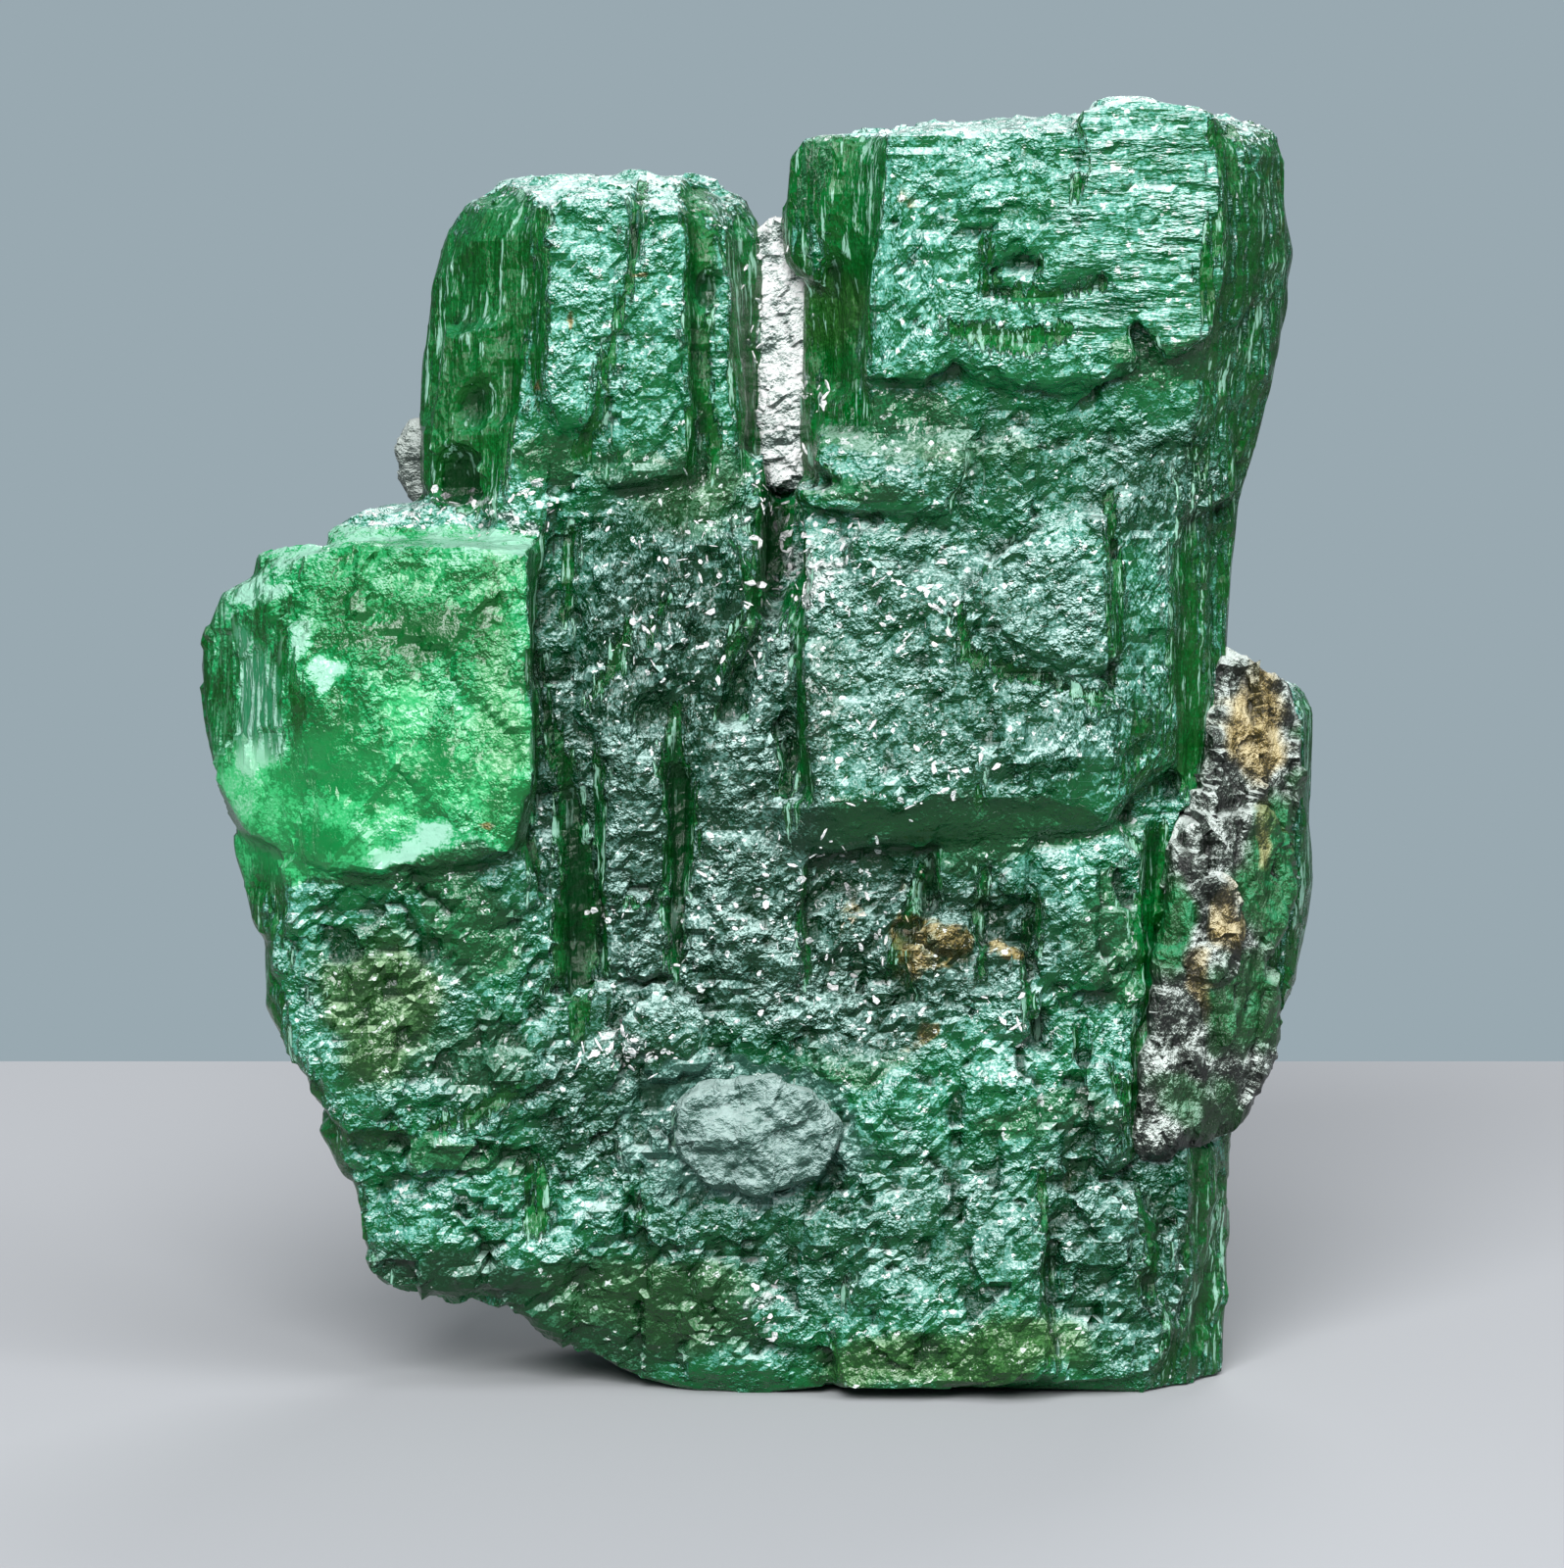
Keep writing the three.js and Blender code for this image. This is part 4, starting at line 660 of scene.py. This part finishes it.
def place_on_bench(tree):
    here = add_node(tree, "ShaderNodeTexCoord", out=3)
    per_mm = (1 / MM, 1 / MM, 1 / MM)
    return add_node(
        tree, "ShaderNodeMapping", {"Vector": here, "Rotation": (LEAN, 0, 0), "Scale": per_mm}
    )


beryl, tree = new_material("beryl")
place = place_on_bench(tree)
cloudy = add_node(tree, "ShaderNodeTexNoise", {"Vector": place, "Scale": CLOUDS, "Detail": 4})
mottle = add_node(tree, "ShaderNodeTexNoise", {"Vector": place, "Scale": MOTTLES, "Detail": 3})
along_crystal = add_node(tree, "ShaderNodeMapping", {"Vector": place, "Scale": (1, 1, 0.13)})
streaks = add_node(
    tree,
    "ShaderNodeTexNoise",
    {"Vector": along_crystal, "Scale": STREAKS, "Detail": 5, "Roughness": 0.65},
)
share = {
    name: add_node(tree, "ShaderNodeAttribute", out=2, attribute_name=name) for name in fields
}
print("beryl reads", len(share), "fields and three patterns")

# %% [markdown]
# A field says roughly where a kind of surface is. On the stone its edge is ragged, not
# airbrushed, so noise is added to the field, and a narrow range of the sum becomes the
# kind's amount, from none to full.

# %% Amount of each kind
# kind: the noise on its edge and its strength, where the kind begins and is full, its most
EDGES = {
    "haze": (mottle, 0.8, 0.7, 1.1, 1.0),
    "gem": (mottle, 0.0, 0.42, 0.58, 1.0),
    "smooth": (streaks, 0.9, 0.92, 0.98, 1.0),
    "milky": (mottle, 1.6, 1.25, 1.6, 0.9),
    "rust": (mottle, 1.6, 1.4, 1.9, 0.85),
    "mica": (mottle, 1.6, 1.8, 2.0, 1.0),
}
amount = {"grey": share["grey"]}
for kind, (pattern, ragged, begins, full, most) in EDGES.items():
    edge = add_node(
        tree, "ShaderNodeMath", {0: pattern, 1: ragged, 2: share[kind]}, operation="MULTIPLY_ADD"
    )
    amount[kind] = add_node(
        tree,
        "ShaderNodeMapRange",
        {"Value": edge, "From Min": begins, "From Max": full, "To Max": most},
        # flecks of mica fade evenly, and the other kinds ease in and out
        interpolation_type="LINEAR" if kind == "mica" else "SMOOTHSTEP",
    )
# a smooth part in a grey place is a deeper green, and only the gem crystal gets the painted glow
for kind, field, within in (
    ("deep", "grey", amount["smooth"]),
    ("glow", "glow", amount["gem"]),
    ("olive", "olive", 0.6),
):
    amount[kind] = add_node(
        tree, "ShaderNodeMath", {0: share[field], 1: within}, operation="MULTIPLY"
    )
print("kinds with an amount:", ", ".join(amount))

# %% [markdown]
# The relief is a height in millimetres: folds from half a millimetre wide down to a few
# hundredths, sharp creases where the fold noise crosses its middle, and small planes,
# each with a tilt of its own from a Voronoi cell. Where growth steps run across, the
# folds are drawn out sideways, and in a few places they run on a slant.

# %% Folds, creases and small planes
FOLDS, PLANES = 2.0, 8.0
FOLD_HEIGHT, CREASE_HEIGHT, PLANE_TILT = 0.3, 0.16, 0.45
SLANT_ANGLE = math.radians(-28)

sideways_drawn = add_node(tree, "ShaderNodeMapping", {"Vector": place, "Scale": (0.5, 0.7, 1.6)})
slanted = add_node(
    tree,
    "ShaderNodeMapping",
    {"Vector": place, "Rotation": (0, SLANT_ANGLE, 0), "Scale": (1.5, 1, 0.6)},
)
drawn = place
for kind, own_place in (("stepped", sideways_drawn), ("slant", slanted)):
    inside = add_node(
        tree, "ShaderNodeMath", {0: mottle, 1: 0.9, 2: share[kind]}, operation="MULTIPLY_ADD"
    )
    inside = add_node(tree, "ShaderNodeMath", {0: inside, 1: 0.95}, operation="GREATER_THAN")
    drawn = add_node(
        tree, "ShaderNodeMix", {"Factor": inside, 4: drawn, 5: own_place}, 1, data_type="VECTOR"
    )
fold = add_node(
    tree, "ShaderNodeTexNoise", {"Vector": drawn, "Scale": FOLDS, "Detail": 4.5, "Roughness": 0.62}
)
crease = add_node(tree, "ShaderNodeMath", {0: fold, 1: -0.5}, operation="ADD")
crease = add_node(tree, "ShaderNodeMath", {0: crease}, operation="ABSOLUTE")
cell = add_node(tree, "ShaderNodeTexVoronoi", {"Vector": place, "Scale": PLANES}, 1)
centre = cell.node.outputs["Position"]
away = add_node(tree, "ShaderNodeVectorMath", {0: place, 1: centre}, operation="SUBTRACT")
lean = add_node(tree, "ShaderNodeVectorMath", {0: cell, 1: (0.5, 0.5, 0.5)}, operation="SUBTRACT")
plane = add_node(tree, "ShaderNodeVectorMath", {0: away, 1: lean}, 1, operation="DOT_PRODUCT")

relief = 0.0
for pattern, tall in ((fold, FOLD_HEIGHT), (crease, CREASE_HEIGHT), (plane, PLANE_TILT)):
    relief = add_node(
        tree, "ShaderNodeMath", {0: pattern, 1: tall, 2: relief}, operation="MULTIPLY_ADD"
    )
print("folds of", FOLD_HEIGHT, "mm,", PLANES, "small planes in a millimetre")

# %% [markdown]
# The smooth parts have only striations. One Bump node makes a normal from the height, and
# the hazy and the clear parts get less of it.

# %% Bump
STRIATION_HEIGHT = 0.08
striation = add_node(
    tree, "ShaderNodeMath", {0: streaks, 1: STRIATION_HEIGHT}, operation="MULTIPLY"
)
relief = add_node(tree, "ShaderNodeMix", {"Factor": amount["smooth"], 2: relief, 3: striation})
strength = 1.0
for part, less in ((amount["haze"], -0.5), (amount["gem"], -0.35), (share["glow"], -0.3)):
    strength = add_node(
        tree, "ShaderNodeMath", {0: part, 1: less, 2: strength}, operation="MULTIPLY_ADD"
    )
bump = add_node(
    tree, "ShaderNodeBump", {"Height": relief, "Strength": strength, "Distance": 1 * MM}
)
print("striations of", STRIATION_HEIGHT, "mm")

# %% [markdown]
# The frost and the painted light are one number, `lit`. It starts as how far the bumped
# surface looks up, from whichever side it is seen, so folds that look up are painted pale,
# as painted highlight, and those that look down stay dark, as painted shade. Pale places,
# clouds, haze and grit raise it, and painted shade along the middle of each crease lowers
# it. The gem crystal is blotchy, so clouds count for more there, with a pale facet and a
# painted glow low on its left.

# %% Frost and painted light
UPWARD = (0, 0, 1)
GRIT = 22.0
grit = add_node(tree, "ShaderNodeTexNoise", {"Vector": place, "Scale": GRIT, "Detail": 2})
# painted shade along the middle of each crease
crease_shade = add_node(
    tree,
    "ShaderNodeMapRange",
    {"Value": crease, "From Min": 0.0, "From Max": 0.035, "To Min": 1.0, "To Max": 0.0},
)
blotch = -1.1
for part, more in ((cloudy, 2.2), (share["pale"], 0.9), (share["glow"], 0.15)):
    blotch = add_node(
        tree, "ShaderNodeMath", {0: part, 1: more, 2: blotch}, operation="MULTIPLY_ADD"
    )
# painted light: a fold that looks up is painted paler, one that looks down darker
lit = add_node(tree, "ShaderNodeVectorMath", {0: bump, 1: UPWARD}, 1, operation="DOT_PRODUCT")
for part, more in (
    (share["pale"], 0.15),
    (cloudy, 0.7),
    (crease_shade, -0.35),
    (amount["haze"], 0.12),
    (grit, 1.2),
    (amount["gem"], blotch),
):
    lit = add_node(tree, "ShaderNodeMath", {0: part, 1: more, 2: lit}, operation="MULTIPLY_ADD")
half_lit, full_lit = (
    add_node(
        tree,
        "ShaderNodeMapRange",
        {"Value": lit, "From Min": low, "From Max": high},
        interpolation_type="SMOOTHSTEP",
    )
    for low, high in ((0.8, 1.4), (1.36, 1.95))
)
# the frost here includes painted light from above, and the cracks are painted shade in the creases
print("frost made from relief, clouds, cracks and grit")

# %% [markdown]
# Each kind's three colours are laid over those of the kinds before it, and how lit a
# point is, by its frost and by the painted light from above, then chooses between the
# three. The other minerals are coloured in the same way, so this step is a function.


# %% Colour
def frost_and_painted_light_colour(tree, tones, layers, half_lit, full_lit):
    for cover, own_tones in layers:
        tones = [
            add_node(
                tree, "ShaderNodeMix", {"Factor": cover, 6: tone, 7: own_tone}, 2, data_type="RGBA"
            )
            for tone, own_tone in zip(tones, own_tones)
        ]
    colour = tones[0]
    for cover, tone in ((half_lit, tones[1]), (full_lit, tones[2])):
        colour = add_node(
            tree, "ShaderNodeMix", {"Factor": cover, 6: colour, 7: tone}, 2, data_type="RGBA"
        )
    return colour


layers = [(amount[kind], own_tones) for kind, own_tones in TONES.items() if kind in amount]
colour = frost_and_painted_light_colour(tree, TONES["etched"], layers, half_lit, full_lit)
print(len(layers), "kinds laid over the etched one")

# %% [markdown]
# Three small things lie over the colour: painted highlights as bright streaks, in
# clusters, where striations on the smooth parts catch the light; painted highlights as
# silver sparkles on the rough parts, each one Voronoi cell; and painted shade in pits where
# the mesh says that it is hollow. Few streaks and pits show on the gem crystal.

# %% Painted streaks, sparkles and pit shade
SPARKLES = 14.0
outside_gem = add_node(
    tree, "ShaderNodeMath", {0: amount["gem"], 1: -0.8, 2: 1.0}, operation="MULTIPLY_ADD"
)
# painted highlight: bright streaks where striations catch the light
glint = add_node(tree, "ShaderNodeMath", {0: cloudy, 1: 0.4, 2: streaks}, operation="MULTIPLY_ADD")
glint = add_node(
    tree,
    "ShaderNodeMapRange",
    {"Value": glint, "From Min": 0.79, "From Max": 0.85},
    interpolation_type="SMOOTHSTEP",
)
glint = add_node(tree, "ShaderNodeMath", {0: glint, 1: amount["smooth"]}, operation="MULTIPLY")
glint = add_node(tree, "ShaderNodeMath", {0: glint, 1: outside_gem}, operation="MULTIPLY")

# painted highlight: silver sparkles, more of them where the point is painted lit
sparkle = add_node(tree, "ShaderNodeTexVoronoi", {"Vector": place, "Scale": SPARKLES}, 1)
sparkle = add_node(tree, "ShaderNodeSeparateColor", {"Color": sparkle})
for part, more in ((lit, 0.12), (mottle, 0.25)):
    sparkle = add_node(
        tree, "ShaderNodeMath", {0: part, 1: more, 2: sparkle}, operation="MULTIPLY_ADD"
    )
sparkle = add_node(
    tree, "ShaderNodeMapRange", {"Value": sparkle, "From Min": 1.24, "From Max": 1.28}
)
rough_part = add_node(
    tree, "ShaderNodeMath", {0: amount["smooth"], 1: amount["gem"]}, operation="MAXIMUM"
)
rough_part = add_node(tree, "ShaderNodeMath", {0: 1.0, 1: rough_part}, operation="SUBTRACT")
sparkle = add_node(tree, "ShaderNodeMath", {0: sparkle, 1: rough_part}, operation="MULTIPLY")

# painted shade in the pits that the mesh marks as hollow
pit_shade = add_node(
    tree,
    "ShaderNodeMapRange",
    {"Value": share["hollow"], "From Min": 0.6, "From Max": 0.9, "To Max": 0.8},
    interpolation_type="SMOOTHSTEP",
)
pit_shade = add_node(tree, "ShaderNodeMath", {0: pit_shade, 1: outside_gem}, operation="MULTIPLY")
for cover, own_colour in ((glint, "#9fd8be"), (sparkle, "#effaf6"), (pit_shade, "#012b0e")):
    colour = add_node(
        tree, "ShaderNodeMix", {"Factor": cover, 6: colour, 7: own_colour}, 2, data_type="RGBA"
    )
print("room for", SPARKLES, "sparkles in a millimetre")

# %% [markdown]
# Light goes in where the surface is calm, and most of all in the gem crystal. A calm part
# is glossier than an etched one, and the gem crystal's small folds blur its gloss a
# little. Inside the stone the volume takes away red and blue, and leaves green.

# %% Beryl
calm = add_node(
    tree, "ShaderNodeMath", {0: amount["smooth"], 1: amount["haze"]}, operation="MAXIMUM"
)
calm = add_node(tree, "ShaderNodeMath", {0: calm, 1: amount["gem"]}, operation="MAXIMUM")
clear = add_node(tree, "ShaderNodeMath", {0: calm, 1: 0.16}, operation="MULTIPLY")
clear = add_node(
    tree, "ShaderNodeMath", {0: amount["gem"], 1: 0.15, 2: clear}, operation="MULTIPLY_ADD"
)
roughness = 0.22
for part, more in ((calm, -0.1), (amount["gem"], 0.12)):
    roughness = add_node(
        tree, "ShaderNodeMath", {0: part, 1: more, 2: roughness}, operation="MULTIPLY_ADD"
    )
# beryl: glassy and partly clear, so it glows green at its edges and glitters where etched
shader = add_node(
    tree,
    "ShaderNodeBsdfPrincipled",
    {
        "Base Color": colour,
        "Roughness": roughness,
        "Transmission Weight": clear,
        "Normal": bump,
        "IOR": 1.58,
        "Specular IOR Level": 0.3,
    },
)
absorption = add_node(tree, "ShaderNodeVolumeAbsorption", {"Color": "#4fd070", "Density": 220.0})
add_node(tree, "ShaderNodeOutputMaterial", {"Surface": shader, "Volume": absorption})

emerald.data.materials.append(beryl)
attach(emerald, "root")
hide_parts("emerald_cluster")
print("beryl:", len(tree.nodes), "nodes")

# %% [markdown]
# ## Mica schist, white mica and quartz
#
# The other minerals sit in pockets with a clearance all round in the plain model. Here
# each one gets its own skin, swollen by that clearance so that it meets the emerald, and
# carved in its own way: schist splits into flaky layers along the crystals, white mica
# into scales, and the quartz grain is a cloudy lump.

# %% The minerals' shapes
# how far each skin is swollen and how deep its pits are, in mm
CLEARANCE = 0.24
OWN_PIT_DEPTH = 0.08
# node: piece, slot, voxel size, facet size, facet height and lump height in mm
MINERALS = {
    "mica_schist": ("schist_scab", "schist", 0.07, (0.35, 0.35, 1.1), 0.2, 0.08),
    "mica_seam": ("seam_mica", "mica", 0.06, (0.22, 0.22, 0.26), 0.12, 0.06),
    "mica_patch": ("patch_mica", "mica", 0.06, (0.3, 0.3, 0.3), 0.1, 0.1),
    "quartz_grain": ("quartz_lump", "quartz", 0.05, (0.5, 0.5, 0.4), 0.07, 0.12),
}
minerals = {}
for node, (name, slot, step, size, facet_height, lump_height) in MINERALS.items():
    piece = even_skin(name, node, step)
    own_skin = read_vectors(piece.data, "co")
    own_facing = smoothed(piece.data, read_vectors(piece.data, "normal"), 3)
    # less at the front, where a piece would stick out
    own_height = CLEARANCE * (1 - 0.6 * ramp(-own_facing[:, 1], 0.4, 0.9))
    own_height = own_height + facet_height * facets(own_skin, size, 201)
    own_height = own_height + lump_height * fractal(own_skin, 0.5, 211, 3)
    own_carved = own_skin + own_facing * own_height[:, None]
    set_points(piece.data, own_carved)

    own_wobble = np.stack([fractal(own_skin, 0.7, seed, 3) for seed in (1, 2, 3)], axis=1)
    own_spread = own_skin + 0.2 * own_wobble
    own_fields = {
        kind: spot_field(kind, own_spread[:, 0], own_spread[:, 2]) for kind in ("green", "rust")
    }
    own_sunk = np.sum((smoothed(piece.data, own_carved, 6) - own_carved) * own_facing, axis=1)
    own_fields["hollow"] = 0.5 + own_sunk / (2 * OWN_PIT_DEPTH)
    set_fields(piece.data, own_fields)
    piece.data.transform(to_frame)
    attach(piece, "root")
    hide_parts(node)
    minerals[name] = piece

# %% [markdown]
# Schist is silver-grey mica in thin leaves with a rusty film between them, dark green where
# beryl grew through it. White mica is pearly and almost metallic in the light, and the patch
# at the back is duller. Quartz is milky because it is full of cracks. All of them, and the
# loose flakes, share one recipe of specks, bump, stain, painted light from above and painted
# shade in the pits, so they are made in one loop.

# %% Recipes
# dark, middle and pale colours, chosen by painted light from above and by the specks,
# speck size in mm and its stretch, lightness, roughness, clearness
RECIPES = {
    "mica_schist": ("#070f08", "#4c5c50", "#dde8e2", 0.08, (1, 1, 0.55), -0.28, 0.3, 0.0),
    "white_mica": ("#3d4f48", "#a9c0b8", "#ffffff", 0.09, (1, 1, 0.8), 0.1, 0.25, 0.0),
    "dull_mica": ("#4a5450", "#8a968f", "#c6cfca", 0.14, (1, 1, 1), -0.1, 0.5, 0.0),
    "milky_quartz": ("#2f584b", "#70a094", "#c8e4de", 0.06, (1, 1, 1), -0.15, 0.25, 0.25),
    "mica_flake": ("#8fa89e", "#dfeeea", "#ffffff", 0.2, (1, 1, 1), 0.6, 0.2, 0.0),
}
WEARS = {
    "schist_scab": "mica_schist",
    "seam_mica": "white_mica",
    "patch_mica": "dull_mica",
    "quartz_lump": "milky_quartz",
}
# a field, the colours that it brings, where it is full and its most
STAINS = (("green", "deep", 1.3, 1.0), ("rust", "rust", 1.4, 0.9))
print("finishes:", ", ".join(RECIPES))

# %% Finishes
finishes = {}
for name, (deep, mid, light, speck_size, stretch, lightness, rough, clearness) in RECIPES.items():
    finishes[name], tree = new_material(name)
    place = place_on_bench(tree)
    stretched = add_node(tree, "ShaderNodeMapping", {"Vector": place, "Scale": stretch})
    specks = add_node(
        tree,
        "ShaderNodeTexNoise",
        {"Vector": stretched, "Scale": 0.3 / speck_size, "Detail": 5, "Roughness": 0.62},
    )
    patches = add_node(tree, "ShaderNodeTexNoise", {"Vector": stretched, "Scale": 1.8, "Detail": 3})
    bump = add_node(
        tree,
        "ShaderNodeBump",
        {"Height": specks, "Strength": 1.0, "Distance": 2.5 * speck_size * MM},
    )

    # painted light: specks that look up are painted paler and those that look down darker
    lit = add_node(tree, "ShaderNodeVectorMath", {0: bump, 1: UPWARD}, 1, operation="DOT_PRODUCT")
    lit = add_node(tree, "ShaderNodeMath", {0: lit, 1: lightness}, operation="ADD")
    for part, more in ((patches, 1.0), (specks, 2.5)):
        lit = add_node(tree, "ShaderNodeMath", {0: part, 1: more, 2: lit}, operation="MULTIPLY_ADD")
    half_lit, full_lit = (
        add_node(tree, "ShaderNodeMapRange", {"Value": lit, "From Min": low, "From Max": high})
        for low, high in ((1.42, 1.8), (1.76, 2.15))
    )
    layers = []
    for field, kind, full, most in STAINS:
        where = add_node(tree, "ShaderNodeAttribute", out=2, attribute_name=field)
        where = add_node(
            tree, "ShaderNodeMath", {0: patches, 1: 0.8, 2: where}, operation="MULTIPLY_ADD"
        )
        cover = add_node(
            tree,
            "ShaderNodeMapRange",
            {"Value": where, "From Min": 0.6, "From Max": full, "To Max": most},
        )
        layers.append((cover, TONES[kind]))
    colour = frost_and_painted_light_colour(tree, (deep, mid, light), layers, half_lit, full_lit)

    hollow = add_node(tree, "ShaderNodeAttribute", out=2, attribute_name="hollow")
    # painted shade in the pits that the mesh marks as hollow
    pit_shade = add_node(
        tree,
        "ShaderNodeMapRange",
        {"Value": hollow, "From Min": 0.6, "From Max": 1.0, "To Max": 0.9},
    )
    colour = add_node(
        tree, "ShaderNodeMix", {"Factor": pit_shade, 6: colour, 7: "#0a120c"}, 2, data_type="RGBA"
    )
    shader = add_node(
        tree,
        "ShaderNodeBsdfPrincipled",
        {
            "Base Color": colour,
            "Roughness": rough,
            "Transmission Weight": clearness,
            "Normal": bump,
            "IOR": 1.55,
        },
    )
    add_node(tree, "ShaderNodeOutputMaterial", {"Surface": shader})
for name, finish in WEARS.items():
    minerals[name].data.materials.append(finishes[finish])
    print(name, "wears", finish)

# %% [markdown]
# ## Loose mica flakes
#
# Flakes of white mica, up to a quarter of a millimetre across and most of them smaller, lie
# scattered over the stone and crowd where mica grew. Each is a thin six-sided plate, since
# mica crystals are six-sided and split in one plane. Geometry Nodes scatters them over the
# emerald's skin by its `mica` field, lays each one near the surface with a random tilt, and
# joins them to one mesh. A random size multiplied by itself twice makes small ones common.


# %% Flake tree
def flake_tree():
    tree = bpy.data.node_groups.new("mica_flakes", "GeometryNodeTree")
    sockets = {}
    for name, kind in (
        ("Skin", "Geometry"),
        ("Density", "Float"),
        ("Radius", "Float"),
        ("Thickness", "Float"),
        ("Seed", "Int"),
        ("Finish", "Material"),
    ):
        socket = tree.interface.new_socket(
            name=name, in_out="INPUT", socket_type="NodeSocket" + kind
        )
        sockets[name] = socket.identifier
    tree.interface.new_socket(name="Flakes", in_out="OUTPUT", socket_type="NodeSocketGeometry")
    given = add_node(tree, "NodeGroupInput").node.outputs
    where = add_node(tree, "GeometryNodeInputNamedAttribute", {"Name": "mica"}, data_type="FLOAT")
    crowd = add_node(tree, "ShaderNodeMath", {0: where, 1: given["Density"]}, operation="MULTIPLY")
    points = add_node(
        tree,
        "GeometryNodeDistributePointsOnFaces",
        {"Mesh": given["Skin"], "Density": crowd, "Seed": given["Seed"]},
        distribute_method="RANDOM",
    )
    flat = points.node.outputs["Rotation"]
    plate = add_node(
        tree,
        "GeometryNodeMeshCylinder",
        {"Vertices": 6, "Radius": given["Radius"], "Depth": given["Thickness"]},
    )
    tilt = add_node(
        tree,
        "FunctionNodeRandomValue",
        {0: (-0.6, -0.6, -3.1), 1: (0.6, 0.6, 3.1), "Seed": given["Seed"]},
        data_type="FLOAT_VECTOR",
    )
    turned = add_node(
        tree,
        "FunctionNodeRotateRotation",
        {"Rotation": flat, "Rotate By": tilt},
        rotation_space="LOCAL",
    )
    size = add_node(
        tree,
        "FunctionNodeRandomValue",
        {0: (0.35, 0.25, 1.0), 1: (1.0, 0.9, 1.0), "Seed": given["Seed"]},
        data_type="FLOAT_VECTOR",
    )
    smaller = add_node(tree, "ShaderNodeVectorMath", {0: size, 1: size}, operation="MULTIPLY")
    size = add_node(tree, "ShaderNodeVectorMath", {0: size, 1: smaller}, operation="MULTIPLY")
    flakes = add_node(
        tree,
        "GeometryNodeInstanceOnPoints",
        {"Points": points, "Instance": plate, "Rotation": turned, "Scale": size},
    )
    flakes = add_node(tree, "GeometryNodeRealizeInstances", {"Geometry": flakes})
    flakes = add_node(
        tree, "GeometryNodeSetMaterial", {"Geometry": flakes, "Material": given["Finish"]}
    )
    add_node(tree, "NodeGroupOutput", {"Flakes": flakes})
    return tree, sockets


scatter, sockets = flake_tree()
print("flake tree:", len(scatter.nodes), "nodes, inputs", ", ".join(sockets))

# %% [markdown]
# An object that shares the emerald's mesh carries the tree for a moment. Its inputs are
# set by the sockets' identifiers, the result is kept as a plain mesh, and the modifier is
# taken off again. Density is counted in a square metre, because that is Blender's unit.

# %% Flakes
# how many on a square millimetre where `mica` is 1, and the largest flake's sizes in mm
FLAKES_PER_MM2 = 34
FLAKE_RADIUS, FLAKE_THICKNESS = 0.13, 0.02
POINTS_PER_FLAKE = 12
flakes = bpy.data.objects.new("mica_flakes", emerald.data)
bpy.context.scene.collection.objects.link(flakes)
modifier = flakes.modifiers.new("scatter", "NODES")
modifier.node_group = scatter
modifier[sockets["Density"]] = FLAKES_PER_MM2 / MM**2
modifier[sockets["Radius"]] = FLAKE_RADIUS * MM
modifier[sockets["Thickness"]] = FLAKE_THICKNESS * MM
modifier[sockets["Seed"]] = 4
modifier[sockets["Finish"]] = finishes["mica_flake"]
graph = bpy.context.evaluated_depsgraph_get()
flakes.data = bpy.data.meshes.new_from_object(flakes.evaluated_get(graph))
flakes.modifiers.clear()
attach(flakes, "root")
print("mica flakes:", len(flakes.data.vertices) // POINTS_PER_FLAKE)
